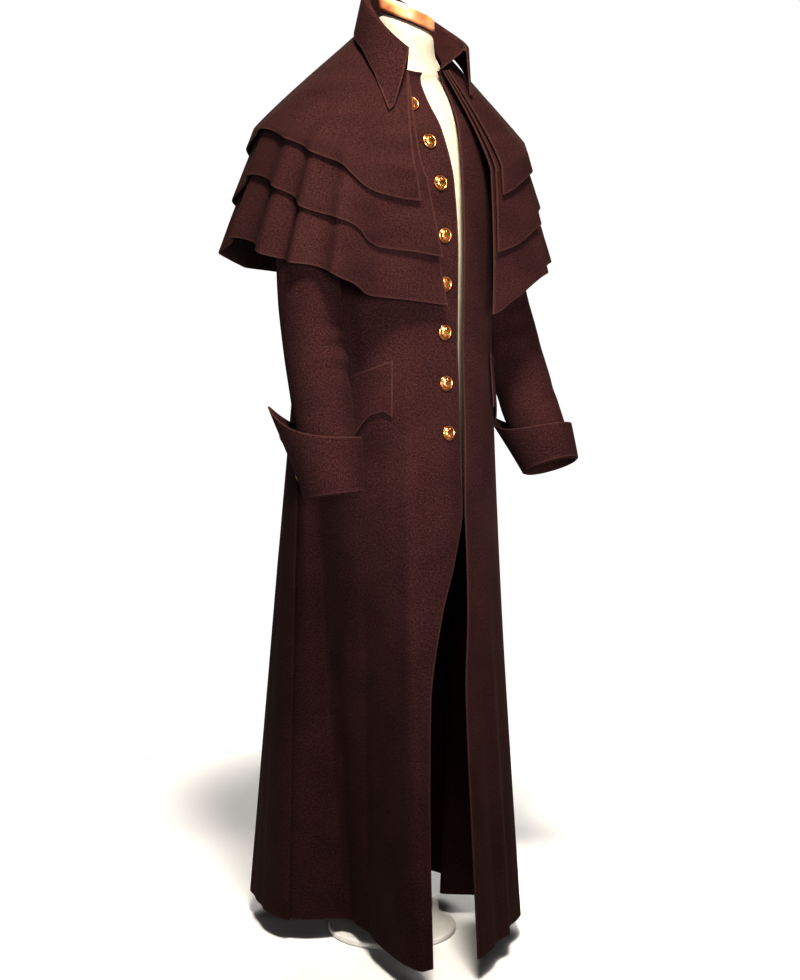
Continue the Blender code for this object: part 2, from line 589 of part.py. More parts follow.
def main():
    """Build every piece."""
    for old in list(bpy.data.objects):
        bpy.data.objects.remove(old, do_unlink=True)
    home = bpy.data.collections.new("caped_greatcoat")
    bpy.context.scene.collection.children.link(home)
    wool, brass = material("wool", WOOL), material("brass", BRASS)
    linen, wood, iron = material("linen", LINEN), material("wood", WOOD), material("iron", IRON)

    right = cloth("front_right", front(RIGHT), wool, home)
    cloth("front_left", front(LEFT), wool, home)
    cloth("back", back(), wool, home)
    for word, side, table in (("right", RIGHT, SLEEVE_RIGHT), ("left", LEFT, SLEEVE_LEFT)):
        turned = side == RIGHT
        cloth("sleeve_" + word, sleeve(table, side), wool, home, turned, True)
        band = cloth("cuff_" + word, cuff(table, side, CUFF_ROWS, CUFF_COLUMNS), wool, home, not turned)
        cloth("flap_" + word, flap(side), wool, home, turned)
        for count, (turn, up) in enumerate(CUFF_BUTTONS, 1):
            here = np.array(CUFFS[side][1] + side * turn)
            place = cuff_point(table, side, here, np.array(up))
            one = cuff_point(table, side, here + 1, np.array(up)) - place
            two = cuff_point(table, side, here, np.array(up + 0.01)) - place
            out = np.cross(one, two) * -side
            out = out / np.linalg.norm(out)
            button("button_cuff_%s_%d" % (word, count), place, out, CUFF_BUTTON_SIZE, CUFF_BUTTON_OFF, band,
                   brass, home)
    cloth("collar", collar(), wool, home)
    angles = np.array(CAPE_ANGLES, float)
    for layer, word in enumerate(("lower", "middle", "upper")):
        cloth("cape_" + word, cape(layer, angles), wool, home)
    for count, height in enumerate(BUTTON_HEIGHTS, 1):
        edge = body(height, eased(OPENING, 1, height))
        inset = BUTTON_INSET / np.hypot(edge[0], edge[1])
        angle = eased(OPENING, 1, height) - np.degrees(inset)
        out = along(body, np.array(height), np.array(angle))
        button("button_front_%d" % count, body(height, angle), out, 1.0, BUTTON_OFF, right, brass, home)
    form_torso(linen, home)
    turned_piece("form_cap", CAP_RADIUS, HEM_Z + CAP_LOW, HEM_Z + CAP_LOW + CAP_HIGH, TURNED_SIDES, CAP_BEVEL,
                 wood, home, CAP_TILT, math.radians(CAP_WAY), FORM_NECK[-1][-1])
    turned_piece("form_pole", POLE_RADIUS, BASE_HIGH + GAP, HEM_Z + FORM_HIPS[0][0] - GAP, TURNED_SIDES, 0,
                 iron, home)
    turned_piece("form_base", BASE_RADIUS, 0.0, BASE_HIGH, BASE_SIDES, BASE_BEVEL, iron, home)


main()
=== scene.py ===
"""Caped greatcoat on a dress form: finished cloth, buttons and form over the fixed model."""
import math

import bmesh
import bpy
import numpy as np
from mathutils import Matrix, Vector


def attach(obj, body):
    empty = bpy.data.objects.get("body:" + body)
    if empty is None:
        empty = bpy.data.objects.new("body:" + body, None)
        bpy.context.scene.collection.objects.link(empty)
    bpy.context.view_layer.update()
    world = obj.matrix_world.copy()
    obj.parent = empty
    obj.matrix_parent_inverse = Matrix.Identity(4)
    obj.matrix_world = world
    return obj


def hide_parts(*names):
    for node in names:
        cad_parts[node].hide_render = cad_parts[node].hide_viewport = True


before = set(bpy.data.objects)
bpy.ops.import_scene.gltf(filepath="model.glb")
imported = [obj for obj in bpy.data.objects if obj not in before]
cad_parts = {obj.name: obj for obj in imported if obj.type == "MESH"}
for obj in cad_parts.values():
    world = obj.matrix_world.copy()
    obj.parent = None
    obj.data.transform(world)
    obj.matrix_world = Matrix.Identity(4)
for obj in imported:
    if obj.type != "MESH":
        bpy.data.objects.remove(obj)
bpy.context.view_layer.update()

# General sizes
HEM_Z = 0.035
WALL = 0.0022
GAP = 0.0003
TINY = 1e-6
HALF_SEAM = 0.00005
WAIST = 0.89
NECK = 1.315

# Soft rim of a sheet, and how near the points lie that are joined where a tube closes
RIM = 0.0008
RIM_ANGLE = 55.0
RIM_SEGMENTS = 2
SEWN_CLOSED = 1e-5

# Steps used to measure slopes: of a surface in its own keys, of the body in degrees
NORMAL_STEP = 1e-4
SEAM_STEP = 1e-3
PLEAT_STEP = 0.01

# Coat body above the waist: a row for each level
# height above the hem, tilt, half width, front depth, back depth, middle in y
BODY = (
    (WAIST, 0.00, 0.153, 0.147, 0.115, 0.000),
    (1.020, 0.00, 0.152, 0.147, 0.122, 0.000),
    (1.120, 0.00, 0.150, 0.138, 0.128, 0.000),
    (1.200, 0.02, 0.147, 0.116, 0.127, 0.000),
    (1.250, 0.10, 0.120, 0.092, 0.097, -0.002),
    (1.285, 0.26, 0.091, 0.075, 0.072, -0.008),
    (1.305, 0.44, 0.072, 0.063, 0.059, -0.018),
    (NECK, 0.60, 0.057, 0.054, 0.052, -0.030),
)
TILT, HALF_WIDTH, FRONT, BACK, MIDDLE = 1, 2, 3, 4, 5

# Hem of the skirt seen from above: angle from the front (left positive), distance from the axis
HEM = (
    (-180, 0.215), (-165, 0.236), (-150, 0.245), (-140, 0.224), (-129, 0.202), (-118, 0.191),
    (-106.5, 0.170), (-102, 0.140), (-98, 0.112), (-92, 0.092), (-84, 0.088), (-70, 0.100),
    (-56, 0.124), (-45, 0.172), (-35, 0.242), (-29, 0.289), (-25, 0.280), (-9, 0.267),
    (-5, 0.255), (10, 0.222), (25, 0.205), (41, 0.200), (56, 0.196), (70, 0.168),
    (84, 0.120), (92, 0.104), (98, 0.116), (102, 0.142), (106.5, 0.170), (118, 0.191),
    (129, 0.202), (140, 0.224), (150, 0.245), (165, 0.236), (180, 0.215),
)

# How the flare of the skirt grows down from the waist: angle, power
FLARE = (
    (-180, 0.90), (-128, 0.70), (-95, 0.90), (-60, 1.10), (20, 1.10), (52, 1.30), (80, 1.10),
    (100, 0.85), (128, 0.70), (180, 0.90),
)

# Front opening: height above the hem, angle of the right edge, angle of the left edge
OPENING = (
    (0.000, -25.7, -9.6), (0.170, -25.0, -8.4), (0.380, -22.5, -6.0), (0.500, -16.0, -1.0),
    (0.580, -7.5, 0.9), (0.650, -0.4, 1.8), (0.700, 0.6, 3.2), (0.800, 2.0, 5.6),
    (0.920, 2.8, 6.8), (1.060, 3.0, 8.0), (1.130, 3.0, 10.0), (1.206, 1.0, 15.0),
    (1.253, -3.0, 21.0), (NECK, -9.0, 26.0),
)
RIGHT, LEFT = -1, 1

# Armhole: an oval in the side of the body
ARMHOLE_LOW = 1.085
ARMHOLE_HIGH = 1.250
ARMHOLE_MIDDLE = (ARMHOLE_HIGH + ARMHOLE_LOW) / 2
ARMHOLE_HALF = (ARMHOLE_HIGH - ARMHOLE_LOW) / 2
ARMHOLE_ANGLE = 33.0
SIDE_ANGLE = 90.0


def eased(table, column, at):
    """Column of a table at a key, eased from row to row with no overshoot."""
    keys = np.array([row[0] for row in table], float)
    values = np.array([row[column] for row in table], float)
    steps = np.diff(keys)
    rise = np.diff(values) / steps
    both = rise[:-1] * rise[1:]
    total = np.where(both > 0, rise[:-1] + rise[1:], 1.0)
    inner = np.where(both > 0, 2 * both / total, 0.0)
    slope = np.concatenate([rise[:1], inner, rise[-1:]])
    at = np.clip(at, keys[0], keys[-1])
    i = np.clip(np.searchsorted(keys, at, side="right") - 1, 0, len(steps) - 1)
    t = (at - keys[i]) / steps[i]
    start = values[i] * (1 + 2 * t) * (1 - t) ** 2 + slope[i] * steps[i] * t * (1 - t) ** 2
    end = values[i + 1] * t * t * (3 - 2 * t) + slope[i + 1] * steps[i] * t * t * (t - 1)
    return start + end


def body(height, angle):
    """Outer face of the coat at a height above the hem and an angle in degrees from the front."""
    turn = np.radians(angle)
    middle = eased(BODY, MIDDLE, height)
    deep = np.where(np.cos(turn) > 0, eased(BODY, FRONT, height), eased(BODY, BACK, height))
    x = eased(BODY, HALF_WIDTH, height) * np.sin(turn)
    y = middle - deep * np.cos(turn)
    hang = np.clip(1 - np.asarray(height) / WAIST, 0, 1) ** eased(FLARE, 1, angle)
    reach = eased(HEM, 1, angle)
    x = x * (1 - hang) + reach * hang * np.sin(turn)
    y = y * (1 - hang) - reach * hang * np.cos(turn)
    z = HEM_Z + height + eased(BODY, TILT, height) * (y - middle)
    return np.stack(np.broadcast_arrays(x, y, z), -1)


def along(surface, first, second):
    """Outward normal of a surface of two keys."""
    one = surface(first + NORMAL_STEP, second) - surface(first - NORMAL_STEP, second)
    two = surface(first, second + NORMAL_STEP) - surface(first, second - NORMAL_STEP)
    cross = np.cross(two, one)
    return cross / np.linalg.norm(cross, axis=-1, keepdims=True)


def off_body(height, angle, out):
    """A point of the body moved out from the cloth."""
    return body(height, angle) + along(body, height, angle) * np.asarray(out)[..., None]


def seam_shift(height, angle):
    """Degrees that half the seam gap takes at a place on the body."""
    run = np.linalg.norm(body(height, angle + SEAM_STEP) - body(height, angle - SEAM_STEP), axis=-1)
    return HALF_SEAM * 2 * SEAM_STEP / run


def armhole_angle(height):
    """How far the armhole edge lies from the side seam, in degrees."""
    place = (height - ARMHOLE_MIDDLE) / ARMHOLE_HALF
    return ARMHOLE_ANGLE * np.sqrt(np.clip(1 - place * place, 0, 1))


def wrapped(angle):
    """Angle brought between -180 and 180 degrees."""
    return (np.asarray(angle, float) + 180) % 360 - 180


# Sleeve rings below the armhole: key along the sleeve, out from the middle, middle in y,
# height above the hem, lean of the ring, pitch of the ring, half across, half front to back
SLEEVE_RIGHT = (
    (1, 0.177, -0.006, 1.118, 70, 0, 0.0420, 0.0540),
    (2, 0.187, -0.026, 1.066, 30, 2, 0.0380, 0.0500),
    (3, 0.194, -0.050, 1.020, 8, 4, 0.0420, 0.0490),
    (4, 0.199, -0.064, 0.955, 0, 6, 0.0440, 0.0480),
    (5, 0.197, -0.072, 0.890, 0, 8, 0.0430, 0.0475),
    (6, 0.195, -0.085, 0.820, 0, 10, 0.0425, 0.0460),
    (7, 0.197, -0.103, 0.745, 0, 11, 0.0410, 0.0440),
    (8, 0.197, -0.118, 0.684, 0, 12, 0.0395, 0.0425),
)
SLEEVE_LEFT = (
    (1, 0.177, 0.000, 1.118, 70, 0, 0.0420, 0.0540),
    (2, 0.189, 0.002, 1.066, 30, 0, 0.0380, 0.0500),
    (3, 0.199, 0.006, 1.020, 8, 2, 0.0420, 0.0490),
    (4, 0.204, 0.000, 0.965, 0, 10, 0.0440, 0.0480),
    (5, 0.203, -0.030, 0.890, 0, 20, 0.0440, 0.0475),
    (6, 0.200, -0.070, 0.815, 0, 23, 0.0430, 0.0460),
    (7, 0.200, -0.105, 0.752, 0, 24, 0.0410, 0.0440),
    (8, 0.200, -0.138, 0.694, 0, 24, 0.0395, 0.0425),
)
RING_X, RING_Y, RING_H, RING_LEAN, RING_PITCH, RING_ACROSS, RING_DEEP = 1, 2, 3, 4, 5, 6, 7
SLEEVE_OFF = 3 * GAP
ARMS = (("right", RIGHT, SLEEVE_RIGHT), ("left", LEFT, SLEEVE_LEFT))


def sleeve_ring(table, side, key, turn, out):
    """Points of a sleeve ring: turn 0 outer, 90 front, 180 inner, 270 back."""
    lean = np.radians(eased(table, RING_LEAN, key))
    pitch = np.radians(eased(table, RING_PITCH, key))
    across = (eased(table, RING_ACROSS, key) + out) * np.cos(np.radians(turn))
    ahead = (eased(table, RING_DEEP, key) + out) * np.sin(np.radians(turn))
    x = side * (eased(table, RING_X, key) + across * np.cos(lean))
    y = eased(table, RING_Y, key) - ahead * np.cos(pitch)
    z = HEM_Z + eased(table, RING_H, key) + across * np.sin(lean) + ahead * np.sin(pitch)
    return np.stack(np.broadcast_arrays(x, y, z), -1)


def armhole_ring(side, turn):
    """Sleeve seam, just off the edge of the armhole."""
    height = ARMHOLE_MIDDLE + ARMHOLE_HALF * np.cos(np.radians(turn))
    angle = side * (SIDE_ANGLE - ARMHOLE_ANGLE * np.sin(np.radians(turn)))
    return off_body(height, angle, np.full(np.shape(turn), SLEEVE_OFF))


# Turned-back cuff: a band whose two ends meet behind the outer side of the arm,
# where it rises to a pointed wing
CUFF_LOW_KEY = 7.97
CUFF_OFF = WALL + 3 * GAP
CUFF_FLARE = 0.007
CUFF_END = 1.2
WING_HALF = 58.0
WING_SHARP = 1.35
WING_POWER = 1.75
# key of the upper edge, turn of the wing about the arm, how far it stands out, how far it rises
CUFFS = {RIGHT: (6.78, -50.0, 0.034, 0.056), LEFT: (7.16, -106.0, 0.038, 0.040)}


def cuff_point(table, side, turn, up):
    """Point of the cuff at a turn about the sleeve and a share of its depth."""
    high, middle, reach, rise = CUFFS[side]
    key = CUFF_LOW_KEY + (high - CUFF_LOW_KEY) * up
    far = np.abs(wrapped(turn - middle)) / WING_HALF
    wing = np.exp(-far ** WING_SHARP) * up ** WING_POWER
    aim = math.radians(middle)
    point = sleeve_ring(table, side, key, turn, CUFF_OFF + CUFF_FLARE * up)
    out = np.array([side * math.cos(aim) * reach, -math.sin(aim) * reach, rise])
    return point + wing[..., None] * out


# Capes: how they reach over the arms, their hems and folds
# angle, reach at the end of the shoulder curve, flare below it
MANTLE_REACH = (
    (-180, 0.146, 0.16), (-155, 0.166, 0.24), (-140, 0.182, 0.32), (-125, 0.190, 0.36),
    (-110, 0.192, 0.36), (-95, 0.193, 0.36), (-80, 0.193, 0.38), (-65, 0.192, 0.40),
    (-54, 0.188, 0.38), (-49, 0.180, 0.30), (-44, 0.171, 0.16), (-38, 0.164, 0.10),
    (-25, 0.157, 0.07), (-10, 0.152, 0.06), (0, 0.151, 0.06), (12, 0.152, 0.08),
    (25, 0.158, 0.14), (38, 0.172, 0.20), (52, 0.187, 0.25), (65, 0.192, 0.30),
    (80, 0.194, 0.34), (95, 0.194, 0.36), (110, 0.193, 0.36), (125, 0.190, 0.36),
    (140, 0.182, 0.32), (155, 0.166, 0.24), (180, 0.146, 0.16),
)
# angle, drop of the shoulder curve, its roundness
MANTLE_CURVE = (
    (0, 0.160, 1.32), (45, 0.140, 1.01), (90, 0.128, 1.06), (135, 0.148, 1.08), (180, 0.165, 1.45),
)
# angle, heights of the lower, middle and upper hem
CAPE_HEMS = (
    (-180, 0.972, 1.040, 1.120), (-140, 1.000, 1.072, 1.150), (-120, 1.030, 1.112, 1.186),
    (-102, 1.047, 1.138, 1.204), (-90, 1.038, 1.130, 1.196), (-78, 1.022, 1.112, 1.183),
    (-65, 1.014, 1.087, 1.164), (-57, 1.004, 1.080, 1.154), (-53.5, 0.996, 1.075, 1.142),
    (-50, 0.986, 1.064, 1.128), (-47, 0.971, 1.046, 1.119), (-44, 0.967, 1.038, 1.114),
    (-29, 0.960, 1.030, 1.103), (0, 0.946, 1.018, 1.098), (18, 0.934, 1.022, 1.100),
    (32, 0.956, 1.032, 1.112), (50, 0.988, 1.060, 1.138), (70, 1.004, 1.088, 1.164),
    (85, 1.022, 1.120, 1.186), (102, 1.042, 1.138, 1.202), (120, 1.030, 1.112, 1.184),
    (140, 1.000, 1.072, 1.150), (180, 0.972, 1.040, 1.120),
)
# angle, how far the cloth stands out of the round
CAPE_FOLDS = (
    (-180, 0.004), (-165, -0.003), (-150, 0.005), (-138, -0.004), (-126, 0.005), (-114, -0.004),
    (-104, 0.009), (-93, -0.004), (-83, 0.011), (-76, -0.005), (-70, 0.010), (-63, -0.003),
    (-55, 0.008), (-46, -0.003), (-36, 0.001), (-20, 0.000), (20, 0.000), (38, -0.002),
    (50, 0.003), (60, -0.003), (70, 0.005), (80, -0.005), (90, 0.005), (102, -0.004),
    (114, 0.005), (127, -0.004), (140, 0.005), (153, -0.004), (166, 0.003), (180, 0.004),
)
FOLD_DEPTH = 0.36
FOLD_POWER = 1.3
CAPE_SPREAD = 0.0065
# angles of the front edges at the neck and at the hem, for the lower, middle and upper cape
CAPE_EDGE_RIGHT = ((-31, -8), (-32, -11.5), (-33, -24))
CAPE_EDGE_LEFT = ((35, 19), (35, 23), (35, 28))
CAPE_TOP = NECK - 0.001
CAPE_NECK_OFF = WALL + 0.0014
CAPE_NECK_STEP = WALL + 0.0017


def cape_point(layer, down, angle):
    """Point of a cape at a share of the way from the neck to the hem."""
    angle = wrapped(angle)
    turn = np.radians(angle)
    start = off_body(np.full(np.shape(angle), CAPE_TOP), angle,
                     np.full(np.shape(angle), CAPE_NECK_OFF + layer * CAPE_NECK_STEP))
    reach = eased(MANTLE_REACH, 1, angle) + layer * CAPE_SPREAD
    drop = eased(MANTLE_CURVE, 1, np.abs(angle)) - layer * CAPE_SPREAD / 2
    bend = eased(MANTLE_CURVE, 2, np.abs(angle))
    hem = HEM_Z + eased(CAPE_HEMS, layer + 1, angle)
    low = start[..., 2] - drop
    share = np.clip((hem - low) / drop, 0, 1) ** (bend / 2)
    last = np.arccos(share)
    level_run = np.hypot(reach * np.sin(turn) - start[..., 0], reach * np.cos(turn) + start[..., 1])
    arc = np.hypot(level_run, start[..., 2] - np.maximum(hem, low))
    line = np.maximum(low - hem, 0)
    part = arc / (arc + line)
    curve = last * np.clip(down / part, 0, 1)
    fall = np.clip((down - part) / np.maximum(1 - part, TINY), 0, 1)
    out = np.sin(curve) ** (2 / bend)
    level = np.cos(curve) ** (2 / bend)
    z = low + drop * level - line * fall
    grown = np.clip((start[..., 2] - z) / FOLD_DEPTH, 0, None) ** FOLD_POWER
    fold = eased(CAPE_FOLDS, 1, angle) * grown
    fold = fold + eased(MANTLE_REACH, 2, angle) * line * fall
    x = start[..., 0] + (reach * np.sin(turn) - start[..., 0]) * out + fold * np.sin(turn)
    y = start[..., 1] + (-reach * np.cos(turn) - start[..., 1]) * out - fold * np.cos(turn)
    return np.stack([x, y, z], -1)


# Collar: stand, roll and pointed fall, by angle from the front round the left and the back to the right
# angle, stand height, stand lean, fall length, fall spread, swing of the fall edge
COLLAR = (
    (33, 0.024, 0.032, 0.104, 0.006, 8), (45, 0.026, 0.030, 0.090, 0.005, 5),
    (62, 0.030, 0.020, 0.070, 0.007, 2), (90, 0.032, 0.010, 0.050, 0.011, 0),
    (125, 0.036, 0.006, 0.042, 0.012, 0), (180, 0.056, 0.004, 0.052, 0.012, 0),
    (230, 0.062, -0.002, 0.054, 0.012, 0), (270, 0.058, 0.003, 0.052, 0.014, 0),
    (298, 0.045, 0.012, 0.060, 0.019, 3), (315, 0.034, 0.017, 0.080, 0.028, 9),
    (327, 0.025, 0.021, 0.100, 0.034, 15),
)
STAND, LEAN, FALL, SPREAD, SWING = 1, 2, 3, 4, 5
ROLL = 0.0036
COLLAR_CLEAR = 0.0092
UPPER_CAPE = 2


def cape_height(layer, x, y):
    """Height of a cape's shoulder curve under a place."""
    angle = np.degrees(np.arctan2(x, -y))
    top = cape_point(layer, np.zeros(np.shape(angle)), angle)
    reach = eased(MANTLE_REACH, 1, angle) + layer * CAPE_SPREAD
    drop = eased(MANTLE_CURVE, 1, np.abs(angle)) - layer * CAPE_SPREAD / 2
    bend = eased(MANTLE_CURVE, 2, np.abs(angle))
    inner = np.hypot(top[..., 0], top[..., 1])
    out = np.clip((np.hypot(x, y) - inner) / (reach - inner), 0, 1)
    return top[..., 2] - drop + drop * (1 - out ** bend) ** (1 / bend)


def collar_point(angle, stand, roll, fall):
    """Point of the collar: shares of stand and fall, and degrees of the roll."""
    place = np.asarray(angle) % 360
    swing = eased(COLLAR, SWING, place) * np.sign(wrapped(angle)) * fall
    base = body(np.full(np.shape(angle), NECK), wrapped(angle))
    middle = BODY[-1][MIDDLE]
    aim = np.arctan2(base[..., 0], middle - base[..., 1]) + np.radians(swing)
    reach = np.hypot(base[..., 0], base[..., 1] - middle)
    bend = math.radians(roll)
    reach = reach + eased(COLLAR, LEAN, place) * stand + ROLL * (1 - math.cos(bend))
    reach = reach + eased(COLLAR, SPREAD, place) * fall
    rise = eased(COLLAR, STAND, place) * stand + ROLL * math.sin(bend)
    rise = rise - eased(COLLAR, FALL, place) * fall
    x = reach * np.sin(aim)
    y = middle - reach * np.cos(aim)
    z = base[..., 2] + GAP + rise
    if fall > 0:
        z = np.maximum(z, cape_height(UPPER_CAPE, x, y) + COLLAR_CLEAR)
    return np.stack([x, y, z], -1)


# Pocket flaps: angle from the front, height of the upper edge, depth of the scalloped edge
FLAP = (
    (36.5, 0.872, 0.082), (42.0, 0.867, 0.070), (48.0, 0.861, 0.068), (54.5, 0.855, 0.080),
    (58.0, 0.852, 0.088), (61.5, 0.848, 0.080), (68.0, 0.842, 0.068), (74.0, 0.836, 0.070),
    (79.5, 0.831, 0.082),
)
FLAP_TOP, FLAP_DEEP = 1, 2
FLAP_OFF = WALL + 0.0006
FLAP_LIFT = 0.0025

# Buttons
BUTTON_RADIUS = 0.0112
BUTTON_INSET = 0.024
BUTTON_HEIGHTS = (1.247, 1.187, 1.126, 1.051, 0.981, 0.911, 0.837, 0.765)
# turn from the wing, share of the cuff's depth
CUFF_BUTTONS = ((14.0, 0.34), (12.0, 0.76))
CUFF_BUTTON_SIZE = 0.85
CUFF_TURN_STEP = 1
CUFF_UP_STEP = 0.01

# Dress form: hips, then the coat's body moved in, then the neck
# height above the hem, half width, front depth, back depth
FORM_HIPS = (
    (0.600, 0.112, 0.100, 0.092), (0.630, 0.124, 0.114, 0.100), (0.740, 0.132, 0.124, 0.102),
)
# height above the hem, how far the form lies inside the cloth
FORM_CLEAR = (
    (WAIST, 0.0150), (1.020, 0.0120), (1.150, 0.0080), (1.225, 0.0050), (1.250, 0.0020), (NECK, 0.0020),
)
FORM_LEVELS = (
    0.83, WAIST, 0.955, 1.02, 1.085, 1.14, 1.185, 1.220, 1.245, 1.265, 1.282, 1.294, 1.303, 1.309,
)
# height above the hem, tilt, way of the tilt from the front, half width, half depth, middle in y
FORM_NECK = (
    (1.3145, 0.54, 0, 0.0500, 0.0450, -0.0300), (1.3230, 0.48, 12, 0.0460, 0.0430, -0.0305),
    (1.3400, 0.42, 35, 0.0422, 0.0415, -0.0325), (1.3582, 0.40, 52, 0.0400, 0.0400, -0.0346),
)
FORM_COLUMNS = 22
FORM_SHY = 0.0006
CAP_LOW = 1.3590
CAP_TILT = 0.40
CAP_WAY = 52
CAP_RADIUS = 0.0412
CAP_HIGH = 0.022
CAP_BEVEL = 0.004
CAP_INSETS = ((0.004, 0.0022), (0.008, 0.0020), (0.012, 0.0012))
CAP_SIDES = 72
POLE_RADIUS = 0.0130
BASE_RADIUS = 0.100
BASE_HIGH = 0.012
BASE_BEVEL = 0.003
BASE_INSETS = ((0.012, 0.0008), (0.02, 0.0010))
BASE_SIDES = 96
POLE_BEVEL = 0.0012
POLE_SIDES = 48
# share of a turned piece's height below its raised top
SHOULDER = 0.8
ROUND_SEGMENTS = 5
ROUND_ANGLE = math.radians(40)

# Creases of the coat
# start height, angle there, end height, angle there, depth, half width in degrees
COAT_CREASES = (
    (-0.60, -38.0, 0.62, -30.0, 0.0035, 3.5),
    (-0.70, -12.0, 0.50, -14.0, -0.0030, 4.0),
    (-0.70, 15.0, 0.62, 17.0, 0.0055, 3.5),
    (-0.70, 5.0, 0.56, 8.0, -0.0035, 3.5),
    (-0.70, 28.0, 0.60, 26.0, -0.0040, 4.5),
    (-0.70, 44.0, 0.52, 40.0, 0.0030, 5.0),
    (-0.60, -60.0, 0.60, -52.0, -0.0030, 4.0),
    (-0.70, 180.0, 0.66, 180.0, -0.0050, 7.0),
    (-0.70, 163.0, 0.58, 166.0, 0.0045, 5.0),
    (-0.70, -166.0, 0.62, -168.0, 0.0040, 5.0),
    (-0.70, -140.0, 0.55, -146.0, -0.0040, 5.0),
    (-0.70, 139.0, 0.52, 146.0, -0.0040, 5.0),
    (-0.60, 124.0, 0.50, 128.0, 0.0030, 4.0),
    (-0.60, -123.0, 0.46, -127.0, 0.0030, 4.0),
    (0.78, -52.0, 1.02, -66.0, -0.0018, 4.0),
    (0.80, -36.0, 0.96, -20.0, 0.0012, 4.0),
    (0.74, 30.0, 0.98, 48.0, -0.0018, 4.5),
    (0.82, 152.0, 1.06, 138.0, -0.0020, 5.0),
    (0.80, -150.0, 1.04, -136.0, -0.0020, 5.0),
    (0.86, 170.0, 1.00, 184.0, 0.0015, 5.0),
)
# Sleeve creases
# start turn, place along the sleeve there, end turn, place there, depth, half width along the sleeve
SLEEVE_CREASES = (
    (20.0, 3.10, 170.0, 2.75, -0.0022, 0.16),
    (40.0, 4.55, 200.0, 4.35, -0.0030, 0.16),
    (60.0, 4.95, 230.0, 5.00, -0.0034, 0.15),
    (30.0, 5.40, 190.0, 5.60, -0.0026, 0.17),
    (50.0, 4.75, 210.0, 4.70, 0.0022, 0.14),
    (50.0, 5.20, 210.0, 5.30, 0.0020, 0.15),
    (190.0, 3.40, 330.0, 3.80, -0.0020, 0.20),
    (-40.0, 6.10, 90.0, 6.35, -0.0014, 0.18),
    (170.0, 6.20, 300.0, 6.05, -0.0016, 0.18),
)


def crease(run, across, table):
    """Sum of the creases at a place: each fades towards its two ends and to its sides."""
    total = np.zeros(np.broadcast(run, across).shape)
    for start, first, end, last, depth, half in table:
        share = np.clip((run - start) / (end - start), 0, 1)
        middle = first + (last - first) * share
        total = total + depth * np.sin(np.pi * share) * np.exp(-((across - middle) / half) ** 2)
    return total


# Pleat in each side of the back: the cloth turns under its edge, from a top height
# to full depth lower down
PLEAT_MIDDLE = 104.4
PLEAT_HALF = 1.2
PLEAT_UNDER = 2.4
PLEAT_DEEP = 0.011
PLEAT_TOP = 0.84
PLEAT_FULL = 0.52


def smooth(low, high, value):
    """Soft step from 0 to 1 between two values."""
    share = np.clip((np.asarray(value) - low) / (high - low), 0, 1)
    return share * share * (3 - 2 * share)


def pleat(height, angle):
    """How the cloth is moved where a pleat turns under its edge."""
    step = PLEAT_STEP * np.sign(angle)
    backwards = (body(height, angle + step) - body(height, angle - step)) / (2 * PLEAT_STEP)
    near = np.exp(-((np.abs(angle) - PLEAT_MIDDLE) / PLEAT_HALF) ** 2)
    near = near * smooth(PLEAT_TOP, PLEAT_FULL, height)
    return (backwards * PLEAT_UNDER - along(body, height, angle) * PLEAT_DEEP) * near[..., None]


def coat(height, angle):
    """Body of the coat with its creases and pleats."""
    near = crease(height, angle, COAT_CREASES)
    near = near + crease(height, angle + 360, COAT_CREASES)
    near = near + crease(height, angle - 360, COAT_CREASES)
    return off_body(height, angle, near) + pleat(height, angle)


# Fine levels and columns of the sheets
SKIRT_ROWS = 150
ARMHOLE_ROWS = 34
YOKE_ROWS = 14
FRONT_COLUMNS = 84
# angles from and to, and columns between
BACK_SPANS = ((90, 100, 12), (100, 108.5, 40), (108.5, 180, 44))
SLEEVE_HEAD_ROWS = 8
SLEEVE_ROWS = 110
SLEEVE_COLUMNS = 68
CUFF_ROWS = 22
CUFF_COLUMNS = 96
CAPE_ROWS = 60
CAPE_COLUMNS = 250
COLLAR_COLUMNS = 130
STAND_ROWS = 14
STAND_END = 0.96
ROLL_ROWS = 9
FALL_ROWS = 20
FLAP_COLUMNS = 48
FLAP_ROWS = 22


def panel_levels():
    """Heights of the panel rows, closer together round the armhole."""
    low = np.linspace(0, ARMHOLE_LOW, SKIRT_ROWS + 1)[:-1]
    hole = ARMHOLE_MIDDLE - ARMHOLE_HALF * np.cos(np.linspace(0, np.pi, ARMHOLE_ROWS + 1))
    high = np.linspace(ARMHOLE_HIGH, NECK, YOKE_ROWS + 1)[1:]
    return np.concatenate([low, hole, high])


def front(side):
    """Grid of a front, from the side seam to the opening or the other way round."""
    share = np.linspace(0, 1, FRONT_COLUMNS + 1)
    rows = []
    for height in panel_levels():
        edge = eased(OPENING, 1 if side == RIGHT else 2, height)
        seam = side * (SIDE_ANGLE - armhole_angle(height))
        seam = seam - side * seam_shift(height, seam)
        angle = seam + (edge - seam) * share if side == RIGHT else edge + (seam - edge) * share
        rows.append(coat(np.full(len(angle), height), angle))
    return np.array(rows)


def back():
    """Grid of the back between the side seams, closer together at the pleats."""
    spans = [np.linspace(low, high, count, endpoint=False) for low, high, count in BACK_SPANS]
    half = np.concatenate(spans)
    half = np.append(half, 180.0)
    rows = []
    for height in panel_levels():
        seam = SIDE_ANGLE + armhole_angle(height)
        seam = seam + seam_shift(height, seam)
        left = 180 - (180 - half) * (180 - seam) / (180 - SIDE_ANGLE)
        angle = wrapped(np.concatenate([left, 360 - left[-2::-1]]))
        rows.append(coat(np.full(len(angle), height), angle))
    return np.array(rows)


